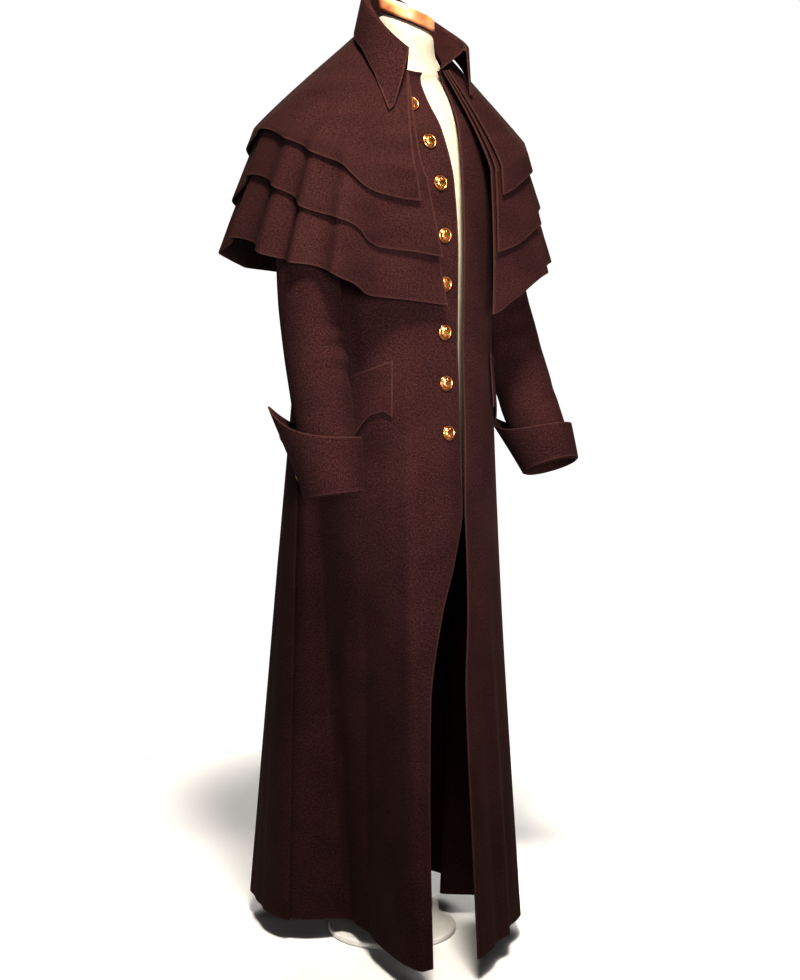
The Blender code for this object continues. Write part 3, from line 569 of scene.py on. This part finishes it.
def sleeve(table, side):
    """Grid of the sleeve, from the armhole down to the wrist."""
    turn = np.linspace(0, 360, SLEEVE_COLUMNS + 1)
    first = armhole_ring(side, turn)
    second = sleeve_ring(table, side, 1.0, turn, 0.0)
    rings = [first + (second - first) * share for share in np.linspace(0, 1, SLEEVE_HEAD_ROWS + 1)[:-1]]
    for key in np.linspace(1, len(table), SLEEVE_ROWS):
        depth = crease(turn, key, SLEEVE_CREASES)
        depth = depth + crease(turn - 360, key, SLEEVE_CREASES)
        rings.append(sleeve_ring(table, side, key, turn, depth))
    return np.array(rings)


def cuff(table, side):
    """Grid of the cuff from its lower edge to its upper edge."""
    turn = CUFFS[side][1] + np.linspace(CUFF_END, 360 - CUFF_END, CUFF_COLUMNS + 1)
    shares = np.linspace(0, 1, CUFF_ROWS + 1)
    return np.array([cuff_point(table, side, turn, up + 0 * turn) for up in shares])


# Ridges of the capes, the same on all three, growing down from the shoulder
# angle, rise, half width in degrees
CAPE_CREASES = (
    (-170.0, 0.0050, 4.5), (-148.0, 0.0060, 4.0), (-127.0, 0.0050, 3.5), (-106.0, 0.0075, 3.4),
    (-84.5, 0.0095, 3.4), (-70.5, 0.0090, 2.6), (-56.0, 0.0080, 2.8), (52.0, 0.0040, 3.0),
    (69.0, 0.0060, 3.4), (88.0, 0.0060, 3.4), (113.0, 0.0060, 4.0), (139.0, 0.0060, 4.0),
    (164.0, 0.0045, 4.5),
)
CREASE_START = 1.27
CREASE_FULL = 1.06


def ridged(points, angle):
    """Cape points moved out along the ridges."""
    rise = 0 * angle
    for middle, out, half in CAPE_CREASES:
        rise = rise + out * np.exp(-(wrapped(angle - middle) / half) ** 2)
    rise = rise * smooth(HEM_Z + CREASE_START, HEM_Z + CREASE_FULL, points[..., 2])
    way = np.radians(angle)
    return points + rise[..., None] * np.stack([np.sin(way), -np.cos(way), 0 * way], -1)


def cape(layer):
    """Grid of a cape from its hem up to the neck."""
    grid = []
    for down in np.linspace(1, 0, CAPE_ROWS + 1):
        left = np.interp(down, (0, 1), CAPE_EDGE_LEFT[layer])
        right = 360 + np.interp(down, (0, 1), CAPE_EDGE_RIGHT[layer])
        angle = np.linspace(left, right, CAPE_COLUMNS + 1)
        grid.append(ridged(cape_point(layer, np.full(len(angle), down), angle), angle))
    return np.array(grid)


def collar():
    """Grid of the collar from the neckline over the roll to the edge of the fall."""
    angle = np.linspace(COLLAR[0][0], COLLAR[-1][0], COLLAR_COLUMNS + 1)
    rows = [collar_point(angle, share, 0.0, 0.0) for share in np.linspace(0, STAND_END, STAND_ROWS)]
    rows += [collar_point(angle, 1.0, turn, 0.0) for turn in np.linspace(0, 180, ROLL_ROWS)]
    rows += [collar_point(angle, 1.0, 180.0, share) for share in np.linspace(0, 1, FALL_ROWS)[1:]]
    return np.array(rows)


def flap(side):
    """Grid of a pocket flap lying on its front, from the lower edge up."""
    angle = np.linspace(FLAP[0][0], FLAP[-1][0], FLAP_COLUMNS + 1)
    rows = []
    for up in np.linspace(0, 1, FLAP_ROWS + 1):
        height = eased(FLAP, FLAP_TOP, angle) - (1 - up) * eased(FLAP, FLAP_DEEP, angle)
        lift = np.full(len(angle), FLAP_OFF + FLAP_LIFT * (1 - up))
        rows.append(off_body(height, side * angle, lift))
    return np.array(rows)


def only(piece):
    """Select one piece and nothing else."""
    bpy.ops.object.select_all(action="DESELECT")
    piece.select_set(True)
    bpy.context.view_layer.objects.active = piece


def apply_all(piece):
    """Apply every modifier of a piece in turn."""
    only(piece)
    for step in list(piece.modifiers):
        bpy.ops.object.modifier_apply(modifier=step.name)


def lengths(points, axis):
    """Distance run along one way of a grid."""
    step = np.linalg.norm(np.diff(points, axis=axis), axis=-1)
    pad = [(0, 0), (0, 0)]
    pad[axis] = (1, 0)
    return np.cumsum(np.pad(step, pad), axis=axis)


def cloth(name, points, look, edges, flipped=False, tube=False):
    """Sheet of cloth through a fine grid, laid out flat, carried to its form, with its wall and soft rim."""
    rows, columns = points.shape[:2]
    bpy.ops.object.select_all(action="DESELECT")
    bpy.ops.mesh.primitive_grid_add(x_subdivisions=columns - 1, y_subdivisions=rows - 1, size=2.0)
    piece = bpy.context.object
    piece.name = piece.data.name = name
    mesh = piece.data
    place = np.empty(len(mesh.vertices) * 3)
    mesh.vertices.foreach_get("co", place)
    place = place.reshape(-1, 3)
    column = np.rint((place[:, 0] + 1) / 2 * (columns - 1)).astype(int)
    row = np.rint((place[:, 1] + 1) / 2 * (rows - 1)).astype(int)
    mesh.vertices.foreach_set("co", points[row, column].ravel())
    across, up = lengths(points, 1), lengths(points, 0)
    across_end, up_end = across[:, -1:] - across, up[-1:] - up
    sides = {
        "low": (up, across),
        "high": (up_end, across),
        "start": (across, up),
        "end": (across_end, up),
    }
    edge, run = np.full(across.shape, 1.0), np.zeros(across.shape)
    for word in edges:
        far, beside = sides[word]
        run = np.where(far < edge, beside, run)
        edge = np.minimum(far, edge)
    for word, value in (("edge", edge), ("run", run)):
        mesh.attributes.new(word, "FLOAT", "POINT").data.foreach_set("value", value[row, column])
    corner = np.empty(len(mesh.loops), int)
    mesh.loops.foreach_get("vertex_index", corner)
    middle = across - across[:, columns // 2:columns // 2 + 1]
    chart = np.stack([middle, np.broadcast_to(up[:, columns // 2:columns // 2 + 1], up.shape)], -1)
    mesh.uv_layers[0].name = "cloth"
    mesh.uv_layers[0].data.foreach_set("uv", chart[row, column][corner].ravel())
    mesh.materials.append(look)
    only(piece)
    bpy.ops.object.mode_set(mode="EDIT")
    bpy.ops.mesh.select_all(action="SELECT")
    if tube:
        bpy.ops.mesh.remove_doubles(threshold=SEWN_CLOSED)
    if flipped:
        bpy.ops.mesh.flip_normals()
    bpy.ops.object.mode_set(mode="OBJECT")
    thick = piece.modifiers.new("wall", "SOLIDIFY")
    thick.thickness = WALL
    thick.offset = -1.0
    thick.use_quality_normals = True
    rim = piece.modifiers.new("rim", "BEVEL")
    rim.width = RIM
    rim.segments = RIM_SEGMENTS
    rim.limit_method = "ANGLE"
    rim.angle_limit = math.radians(RIM_ANGLE)
    apply_all(piece)
    bpy.ops.object.shade_smooth()
    return piece


# Finishes
def finish_named(name):
    """New node material and its shader."""
    made = bpy.data.materials.new(name)
    made.use_nodes = True
    return made, made.node_tree, made.node_tree.nodes["Principled BSDF"]


def feed(tree, socket, value):
    """Link an output to a socket, or set a number on it."""
    if hasattr(value, "is_output"):
        tree.links.new(value, socket)
    else:
        socket.default_value = value


def add(tree, kind, **sockets):
    """New node with some of its inputs set or linked."""
    made = tree.nodes.new(kind)
    for name, value in sockets.items():
        feed(tree, made.inputs[name.replace("_", " ")], value)
    return made


def carried(tree, word):
    """Value carried by the points of a sheet."""
    made = add(tree, "ShaderNodeAttribute")
    made.attribute_name = word
    return made.outputs["Fac"]


def reckon(tree, operation, *values):
    """One step of reckoning with values or numbers."""
    made = tree.nodes.new("ShaderNodeMath")
    made.operation = operation
    for socket, value in zip(made.inputs, values):
        feed(tree, socket, value)
    return made.outputs[0]


def sums(tree, *terms):
    """Weighted sum of several values."""
    total = 0.0
    for value, weight in terms:
        total = reckon(tree, "MULTIPLY_ADD", value, weight, total)
    return total


def ramp(tree, value, *stops):
    """Colour ramp over a value."""
    made = add(tree, "ShaderNodeValToRGB", Fac=value)
    band = made.color_ramp
    while len(band.elements) < len(stops):
        band.elements.new(0.5)
    for element, (place, colour) in zip(band.elements, stops):
        element.position = place
        element.color = (*colour, 1.0)
    return made.outputs["Color"]


def fade(tree, value, low, high, start, end):
    """Value carried from one range to another and held at both ends."""
    made = add(tree, "ShaderNodeMapRange", Value=value)
    for name, number in (("From Min", low), ("From Max", high), ("To Min", start), ("To Max", end)):
        made.inputs[name].default_value = number
    return made.outputs["Result"]


def mixed(tree, share, one, two):
    """Blend of a colour made in the tree and a plain one."""
    made = tree.nodes.new("ShaderNodeMix")
    made.data_type = "RGBA"
    tree.links.new(share, made.inputs["Factor"])
    for socket, value in zip([s for s in made.inputs if s.type == "RGBA"], (one, (*two, 1.0))):
        feed(tree, socket, value)
    return [s for s in made.outputs if s.type == "RGBA"][0]


def bumped(tree, shader, height, strength, distance):
    """Relief of a surface."""
    made = add(tree, "ShaderNodeBump", Strength=strength, Distance=distance, Height=height)
    tree.links.new(made.outputs["Normal"], shader.inputs["Normal"])


def noise(tree, where, scale, detail, rough):
    """Soft noise."""
    made = add(tree, "ShaderNodeTexNoise", Vector=where, Scale=scale, Detail=detail, Roughness=rough)
    return made.outputs["Fac"]


# Wool: tones of the dye, a lighter edge that is partly wear and partly painted highlight where edges catch
# light, and the line of stitches beside an edge
WOOL_TONES = (
    (0.40, (0.0125, 0.0043, 0.0047)),
    (0.51, (0.0290, 0.0112, 0.0112)),
    (0.62, (0.0580, 0.0245, 0.0215)),
)
WEAR_AND_HIGHLIGHT_COLOUR = (0.085, 0.042, 0.034)
WEAR_AND_HIGHLIGHT_SHARE = 0.45
WEAR_AND_HIGHLIGHT_WIDE = 0.0034
STITCH_IN = 0.0058
STITCH_HALF = 0.0011
STITCH_SCALE = 98.0


def wool_twill():
    """Dark brown wool cloth: diagonal twill, brushed nap, uneven dye, lighter edges that are partly wear and
    partly painted highlight, and an edge stitch.
    """
    made, tree, shader = finish_named("wool_twill")
    chart = tree.nodes.new("ShaderNodeUVMap")
    chart.uv_map = "cloth"
    where = chart.outputs["UV"]
    twill = add(tree, "ShaderNodeTexWave", Vector=where, Scale=300.0, Distortion=1.2, Detail=1.0)
    twill.bands_direction = "DIAGONAL"
    twill = twill.outputs["Fac"]
    nap = noise(tree, where, 640.0, 2.0, 0.6)
    fleck = noise(tree, where, 340.0, 3.0, 0.7)
    dye = noise(tree, where, 11.0, 3.0, 0.55)
    edge = carried(tree, "edge")
    run = carried(tree, "run")
    tone = sums(tree, (nap, 0.40), (fleck, 0.40), (dye, 0.14), (twill, 0.08))
    colour = ramp(tree, tone, *WOOL_TONES)
    # Lighter colour along the edges: partly wear, partly painted highlight where edges catch light
    wear_and_highlight = fade(tree, edge, 0.0, WEAR_AND_HIGHLIGHT_WIDE, WEAR_AND_HIGHLIGHT_SHARE, 0.0)
    colour = mixed(tree, wear_and_highlight, colour, WEAR_AND_HIGHLIGHT_COLOUR)
    tree.links.new(colour, shader.inputs["Base Color"])
    along_edge = add(tree, "ShaderNodeCombineXYZ", X=run).outputs["Vector"]
    stitch = add(tree, "ShaderNodeTexWave", Vector=along_edge, Scale=STITCH_SCALE).outputs["Fac"]
    far = reckon(tree, "ABSOLUTE", reckon(tree, "SUBTRACT", edge, STITCH_IN))
    line = fade(tree, far, 0.0, STITCH_HALF, 1.0, 0.0)
    thread = reckon(tree, "MULTIPLY", line, stitch)
    height = sums(tree, (twill, 0.25), (nap, 0.55), (fleck, 0.35), (line, -1.1), (thread, 0.7))
    bumped(tree, shader, height, 0.55, 0.0007)
    tree.links.new(fade(tree, nap, 0.3, 0.7, 0.98, 0.86), shader.inputs["Roughness"])
    shader.inputs["Specular IOR Level"].default_value = 0.06
    shader.inputs["Sheen Weight"].default_value = 0.018
    shader.inputs["Sheen Roughness"].default_value = 0.40
    shader.inputs["Sheen Tint"].default_value = (0.90, 0.50, 0.38, 1.0)
    return made


def brass():
    """Cast brass with a darker patina in patches."""
    made, tree, shader = finish_named("cast_brass")
    where = add(tree, "ShaderNodeTexCoord").outputs["Object"]
    patina = noise(tree, where, 260.0, 4.0, 0.6)
    grit = noise(tree, where, 1500.0, 2.0, 0.5)
    colour = ramp(tree, patina, (0.34, (0.24, 0.095, 0.034)), (0.52, (0.52, 0.24, 0.092)),
                  (0.72, (0.70, 0.40, 0.18)))
    tree.links.new(colour, shader.inputs["Base Color"])
    tree.links.new(fade(tree, patina, 0.3, 0.7, 0.42, 0.22), shader.inputs["Roughness"])
    bumped(tree, shader, grit, 0.15, 0.0002)
    shader.inputs["Metallic"].default_value = 1.0
    return made


def linen_cover():
    """Cream linen with a plain weave, pulled smooth."""
    made, tree, shader = finish_named("linen_cover")
    where = add(tree, "ShaderNodeTexCoord").outputs["Object"]
    weft = add(tree, "ShaderNodeTexWave", Vector=where, Scale=260.0, Distortion=0.8, Detail=2.0)
    weft.bands_direction = "Z"
    warp = add(tree, "ShaderNodeTexWave", Vector=where, Scale=260.0, Distortion=0.8, Detail=2.0)
    warp.bands_direction = "X"
    slub = noise(tree, where, 60.0, 4.0, 0.6)
    tone = sums(tree, (weft.outputs["Fac"], 0.25), (warp.outputs["Fac"], 0.25), (slub, 0.6))
    colour = ramp(tree, tone, (0.25, (0.28, 0.245, 0.185)), (0.60, (0.34, 0.305, 0.240)),
                  (0.90, (0.39, 0.355, 0.285)))
    tree.links.new(colour, shader.inputs["Base Color"])
    bumped(tree, shader, tone, 0.30, 0.0005)
    shader.inputs["Roughness"].default_value = 0.85
    shader.inputs["Sheen Weight"].default_value = 0.10
    return made


def turned_wood():
    """Reddish turned wood with fine rings and a satin finish."""
    made, tree, shader = finish_named("turned_wood")
    where = add(tree, "ShaderNodeTexCoord").outputs["Object"]
    lay = add(tree, "ShaderNodeMapping", Vector=where, Scale=(6.0, 40.0, 40.0)).outputs["Vector"]
    grain = noise(tree, lay, 2.4, 5.0, 0.6)
    vein = add(tree, "ShaderNodeTexWave", Vector=lay, Scale=0.8, Distortion=5.0, Detail=3.0)
    tone = sums(tree, (grain, 0.55), (vein.outputs["Fac"], 0.40))
    colour = ramp(tree, tone, (0.22, (0.30, 0.105, 0.042)), (0.48, (0.50, 0.215, 0.100)),
                  (0.78, (0.63, 0.31, 0.16)))
    tree.links.new(colour, shader.inputs["Base Color"])
    tree.links.new(fade(tree, grain, 0.3, 0.7, 0.50, 0.34), shader.inputs["Roughness"])
    bumped(tree, shader, tone, 0.12, 0.0005)
    shader.inputs["Coat Weight"].default_value = 0.25
    shader.inputs["Coat Roughness"].default_value = 0.25
    return made


def painted_iron():
    """Pale painted iron, slightly uneven."""
    made, tree, shader = finish_named("painted_iron")
    where = add(tree, "ShaderNodeTexCoord").outputs["Object"]
    cloud = noise(tree, where, 22.0, 4.0, 0.55)
    peel = noise(tree, where, 420.0, 2.0, 0.5)
    colour = ramp(tree, cloud, (0.30, (0.70, 0.69, 0.66)), (0.70, (0.84, 0.83, 0.80)))
    tree.links.new(colour, shader.inputs["Base Color"])
    tree.links.new(fade(tree, cloud, 0.3, 0.7, 0.48, 0.36), shader.inputs["Roughness"])
    bumped(tree, shader, peel, 0.10, 0.0004)
    return made


def pale_floor():
    """Pale matt floor."""
    made, tree, shader = finish_named("pale_floor")
    where = add(tree, "ShaderNodeTexCoord").outputs["Object"]
    cloud = noise(tree, where, 0.8, 3.0, 0.5)
    colour = ramp(tree, cloud, (0.3, (0.90, 0.90, 0.895)), (0.7, (0.94, 0.94, 0.935)))
    tree.links.new(colour, shader.inputs["Base Color"])
    shader.inputs["Roughness"].default_value = 0.9
    return made


# Buttons: insets of the face as thickness and rise, then a ring of raised petals
BUTTON_SIDES = 40
BUTTON_BASE = 0.0014
BUTTON_RINGS = (
    (0.0009, 0.0007), (0.0007, -0.0002), (0.0006, -0.0007), (0.0005, 0.0003), (0.0012, 0.0014),
    (0.0018, 0.0011), (0.0018, 0.0006), (0.0014, 0.0003),
)
PETAL_INNER = 0.0036
PETAL_OUTER = 0.0068
PETAL_SIDES = 5
PETAL_RISE = 0.0005
PETAL_INSET = 0.0003
PETAL_FACING = 0.3
TOP_FACING = 0.9
BUTTON_OFF = 0.0008
CUFF_BUTTON_OFF = 0.0003


def pick(piece, wanted):
    """Select the faces of a piece in edit mode by their middle and normal."""
    bpy.ops.mesh.select_all(action="DESELECT")
    shape = bmesh.from_edit_mesh(piece.data)
    for face in shape.faces:
        face.select_set(wanted(face.calc_center_median(), face.normal))
    bmesh.update_edit_mesh(piece.data)


def button_pattern(look):
    """Domed button with a rim and a ring of plain petals, modelled once at the origin, facing up."""
    bpy.ops.object.select_all(action="DESELECT")
    bpy.ops.mesh.primitive_cylinder_add(vertices=BUTTON_SIDES, radius=BUTTON_RADIUS, depth=BUTTON_BASE,
                                        location=(0, 0, BUTTON_BASE / 2))
    piece = bpy.context.object
    bpy.ops.object.transform_apply(location=True, rotation=True, scale=True)
    bpy.ops.object.mode_set(mode="EDIT")
    bpy.ops.mesh.select_mode(type="FACE")
    pick(piece, lambda middle, normal: normal.z > TOP_FACING)
    for thickness, rise in BUTTON_RINGS:
        bpy.ops.mesh.inset(thickness=thickness, depth=rise)
    bpy.ops.mesh.poke()

    def petal(middle, normal):
        far = math.hypot(middle.x, middle.y)
        step = int((math.atan2(middle.y, middle.x) + math.pi) / (2 * math.pi) * BUTTON_SIDES)
        return normal.z > PETAL_FACING and PETAL_INNER < far < PETAL_OUTER and step % PETAL_SIDES != 0

    pick(piece, petal)
    bpy.ops.mesh.inset(thickness=PETAL_INSET, depth=PETAL_RISE)
    bpy.ops.object.mode_set(mode="OBJECT")
    soft = piece.modifiers.new("soft", "SUBSURF")
    soft.levels = soft.render_levels = 1
    apply_all(piece)
    bpy.ops.object.shade_smooth()
    piece.data.materials.append(look)
    return piece


def button(pattern, name, place, out, size):
    """Copy of the button, set on its place and facing out."""
    piece = pattern.copy()
    piece.data = pattern.data.copy()
    piece.name = piece.data.name = name
    bpy.context.scene.collection.objects.link(piece)
    stance = Vector(out).to_track_quat("Z", "Y").to_matrix().to_4x4()
    piece.data.transform(Matrix.Translation(Vector(place)) @ stance @ Matrix.Scale(size, 4))
    return piece


def torso(look):
    """Covered torso and neck of the dress form."""
    turn = np.linspace(0, 2 * math.pi, FORM_COLUMNS, endpoint=False)
    rings = []
    for height, wide, ahead, behind in FORM_HIPS:
        deep = np.where(np.cos(turn) > 0, ahead, behind)
        level = np.full(FORM_COLUMNS, HEM_Z + height)
        rings.append(np.stack([wide * np.sin(turn), -deep * np.cos(turn), level], -1))
    for height in FORM_LEVELS:
        level = np.full(FORM_COLUMNS, max(height, WAIST))
        clear = WALL + eased(FORM_CLEAR, 1, level) + FORM_SHY
        ring = off_body(level, wrapped(np.degrees(turn)), -clear)
        rings.append(ring + np.array([0, 0, min(height - WAIST, 0)]))
    for height, tilt, way, wide, deep, middle in FORM_NECK:
        level = HEM_Z + height - tilt * deep * np.cos(turn - math.radians(way))
        rings.append(np.stack([wide * np.sin(turn), middle - deep * np.cos(turn), level], -1))
    bpy.ops.object.select_all(action="DESELECT")
    bpy.ops.mesh.primitive_uv_sphere_add(segments=FORM_COLUMNS, ring_count=len(rings) + 1, radius=1.0)
    piece = bpy.context.object
    piece.name = piece.data.name = "dress_form"
    for corner in piece.data.vertices:
        row = round(math.acos(max(-1.0, min(1.0, -corner.co.z))) / math.pi * (len(rings) + 1))
        column = round(math.atan2(corner.co.x, -corner.co.y) / (2 * math.pi) * FORM_COLUMNS)
        if 0 < row <= len(rings):
            corner.co = Vector(rings[row - 1][column % FORM_COLUMNS])
        else:
            corner.co = Vector(rings[0 if row == 0 else -1].mean(axis=0))
    soft = piece.modifiers.new("soft", "SUBSURF")
    soft.levels = soft.render_levels = 2
    apply_all(piece)
    bpy.ops.object.shade_smooth()
    piece.data.materials.append(look)
    return piece


def turned(name, radius, low, high, sides, insets, bevel, look, tilt=0.0, way=0.0, middle=0.0):
    """Round turned piece: a cylinder with its top inset, its rims rounded and its whole set to a tilt."""
    bpy.ops.object.select_all(action="DESELECT")
    bpy.ops.mesh.primitive_cylinder_add(vertices=sides, radius=radius, depth=high - low,
                                        location=(0, 0, (high + low) / 2))
    piece = bpy.context.object
    piece.name = piece.data.name = name
    bpy.ops.object.transform_apply(location=True, rotation=True, scale=True)
    bpy.ops.object.mode_set(mode="EDIT")
    bpy.ops.mesh.select_mode(type="FACE")
    pick(piece, lambda place, normal: normal.z > TOP_FACING)
    for thickness, rise in insets:
        bpy.ops.mesh.inset(thickness=thickness, depth=rise)
    bpy.ops.object.mode_set(mode="OBJECT")
    rim = piece.modifiers.new("rim", "BEVEL")
    rim.width = bevel
    rim.segments = ROUND_SEGMENTS
    rim.limit_method = "ANGLE"
    rim.angle_limit = ROUND_ANGLE
    apply_all(piece)
    fall = (-tilt * math.sin(way), tilt * math.cos(way), 1, 0)
    lean = Matrix(((1, 0, 0, 0), (0, 1, 0, middle), fall, (0, 0, 0, 1)))
    piece.data.transform(lean)
    bpy.ops.object.shade_smooth_by_angle(angle=ROUND_ANGLE)
    piece.data.materials.append(look)
    return piece


# Edges of a sheet that are stitched on every side and made lighter there: partly wear, partly painted
# highlight
ALL_ROUND = ("low", "high", "start", "end")


def own(piece, node):
    """Tie a finished piece to the one body and hide the model's part named by its node."""
    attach(piece, "root")
    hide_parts(node)


def build_coat(wool):
    """Every cloth piece of the coat."""
    for word, side, table in ARMS:
        flip = side == RIGHT
        sheets = (
            ("front_", cloth("coat_front_" + word, front(side), wool, ("low", "end" if flip else "start")),
             "front_" + word, ["form_torso"]),
            ("sleeve_", cloth("coat_sleeve_" + word, sleeve(table, side), wool, (), flip, True),
             "sleeve", ["front_" + word, "back"]),
            ("cuff_", cloth("coat_cuff_" + word, cuff(table, side), wool, ALL_ROUND, not flip),
             "cuff_" + word, ["sleeve_" + word]),
            ("flap_", cloth("coat_flap_" + word, flap(side), wool, ALL_ROUND, flip),
             "flap", ["front_" + word]),
        )
        for kind, piece, cut, rests in sheets:
            own(piece, kind + word)
    piece = cloth("coat_back", back(), wool, ("low",))
    own(piece, "back")
    piece = cloth("coat_collar", collar(), wool, ("high", "start", "end"))
    own(piece, "collar")
    for layer, word in enumerate(("lower", "middle", "upper")):
        piece = cloth("coat_cape_" + word, cape(layer), wool, ("low", "start", "end"))
        own(piece, "cape_" + word)


def build_buttons(metal):
    """Front and cuff buttons."""
    pattern = button_pattern(metal)
    for count, height in enumerate(BUTTON_HEIGHTS, 1):
        edge = body(height, eased(OPENING, 1, height))
        angle = eased(OPENING, 1, height) - np.degrees(BUTTON_INSET / np.hypot(edge[0], edge[1]))
        out = along(body, np.array(height), np.array(angle))
        place = body(height, angle) + out * BUTTON_OFF
        piece = button(pattern, "brass_button_%d" % count, place, out, 1.0)
        own(piece, "button_front_%d" % count)
    for word, side, table in ARMS:
        for count, (turn, up) in enumerate(CUFF_BUTTONS, 1):
            here, high = np.array(CUFFS[side][1] + side * turn), np.array(up)
            place = cuff_point(table, side, here, high)
            one = cuff_point(table, side, here + CUFF_TURN_STEP, high) - place
            two = cuff_point(table, side, here, high + CUFF_UP_STEP) - place
            out = np.cross(one, two) * -side
            out = out / np.linalg.norm(out)
            place = place + out * CUFF_BUTTON_OFF
            piece = button(pattern, "cuff_button_%s_%d" % (word, count), place, out, CUFF_BUTTON_SIZE)
            own(piece, "button_cuff_%s_%d" % (word, count))
    bpy.data.objects.remove(pattern, do_unlink=True)


def build_form():
    """Dress form: covered torso, cap, pole and base."""
    own(torso(linen_cover()), "form_torso")
    low = HEM_Z + CAP_LOW
    cap = turned("form_neck_cap", CAP_RADIUS, low, low + CAP_HIGH * SHOULDER, CAP_SIDES, CAP_INSETS, CAP_BEVEL,
                 turned_wood(), CAP_TILT, math.radians(CAP_WAY), FORM_NECK[-1][-1])
    own(cap, "form_cap")
    iron = painted_iron()
    pole = turned("form_upright", POLE_RADIUS, BASE_HIGH + GAP, HEM_Z + FORM_HIPS[0][0] - GAP, POLE_SIDES, (),
                  POLE_BEVEL, iron)
    own(pole, "form_pole")
    base = turned("form_foot", BASE_RADIUS, 0.0, BASE_HIGH * SHOULDER, BASE_SIDES, BASE_INSETS,
                  BASE_BEVEL, iron)
    own(base, "form_base")


# Camera and light
VIEW_AZIMUTH = math.radians(38.0)
VIEW_FAR = 3.5
VIEW_HIGH = 1.225
VIEW_TARGET = Vector((0.0, 0.0, 0.695))
VIEW_ANGLE = math.radians(23.8)
SHIFT_PIXELS = 8
FRAME_HIGH = 980
FLOOR_RADIUS = 1.1
FLOOR_LOW = -0.0004
FLOOR_SIDES = 96
# Surround: where the bright band ends and the dim sky starts, then their strengths
SURROUND = (0.06, 0.10, 1.0, 0.08)
# Lamps: name, place, aim, size, spread of the beam in degrees, power, colour
LAMPS = (
    ("key", (-0.66, -1.05, 2.95), (0, 0, 1.24), 0.5, 56.0, 18.5, (1.0, 0.93, 0.84)),
    ("fill", (-1.1, -2.5, 1.2), (0, 0, 0.86), 0.8, 28.0, 5.4, (1.0, 0.97, 0.98)),
    ("wash", (1.4, 1.8, 2.4), (0.2, 0.25, 0.6), 1.6, 105.0, 24.0, (1.0, 0.97, 0.94)),
    ("front_wash", (-0.6, -1.5, 2.5), (-0.6, -1.1, 0.0), 1.2, 70.0, 7.0, (1.0, 0.98, 0.96)),
)
CONTRAST = 0.72


def set_camera():
    """Camera at the photograph's viewing angle."""
    data = bpy.data.cameras.new("camera")
    camera = bpy.data.objects.new("camera", data)
    bpy.context.scene.collection.objects.link(camera)
    across, ahead = math.sin(VIEW_AZIMUTH), math.cos(VIEW_AZIMUTH)
    camera.location = (-across * VIEW_FAR, -ahead * VIEW_FAR, VIEW_HIGH)
    camera.rotation_euler = (VIEW_TARGET - camera.location).to_track_quat("-Z", "Y").to_euler()
    data.lens = data.sensor_width / 2 / math.tan(VIEW_ANGLE / 2)
    data.shift_x = SHIFT_PIXELS / FRAME_HIGH
    bpy.context.scene.camera = camera


def soft_light(name, place, aim, size, spread, power, colour):
    """Large square lamp aimed at a point."""
    data = bpy.data.lights.new(name, "AREA")
    data.size = size
    data.spread = math.radians(spread)
    data.energy = power
    data.color = colour
    lamp = bpy.data.objects.new(name, data)
    lamp.location = place
    lamp.rotation_euler = (Vector(aim) - Vector(place)).to_track_quat("-Z", "Y").to_euler()
    bpy.context.scene.collection.objects.link(lamp)


def set_stage():
    """Pale floor, soft lamps, a surround that is white up to the horizon, and the view's contrast."""
    bpy.ops.object.select_all(action="DESELECT")
    bpy.ops.mesh.primitive_circle_add(vertices=FLOOR_SIDES, radius=FLOOR_RADIUS, fill_type="NGON",
                                      location=(0, 0, FLOOR_LOW))
    floor = bpy.context.object
    floor.name = "floor"
    bpy.ops.object.transform_apply(location=True, rotation=True, scale=True)
    floor.data.materials.append(pale_floor())
    for lamp in LAMPS:
        soft_light(*lamp)
    world = bpy.data.worlds.new("surround")
    bpy.context.scene.world = world
    world.use_nodes = True
    tree = world.node_tree
    way = add(tree, "ShaderNodeTexCoord").outputs["Generated"]
    high = add(tree, "ShaderNodeSeparateXYZ", Vector=way).outputs["Z"]
    glow = fade(tree, high, *SURROUND)
    tree.links.new(glow, tree.nodes["Background"].inputs["Strength"])
    tree.nodes["Background"].inputs["Color"].default_value = (1.0, 1.0, 1.0, 1.0)
    bpy.context.scene.view_settings.view_transform = "Standard"
    bpy.context.scene.view_settings.gamma = CONTRAST


set_camera()
build_coat(wool_twill())
build_buttons(brass())
build_form()
set_stage()
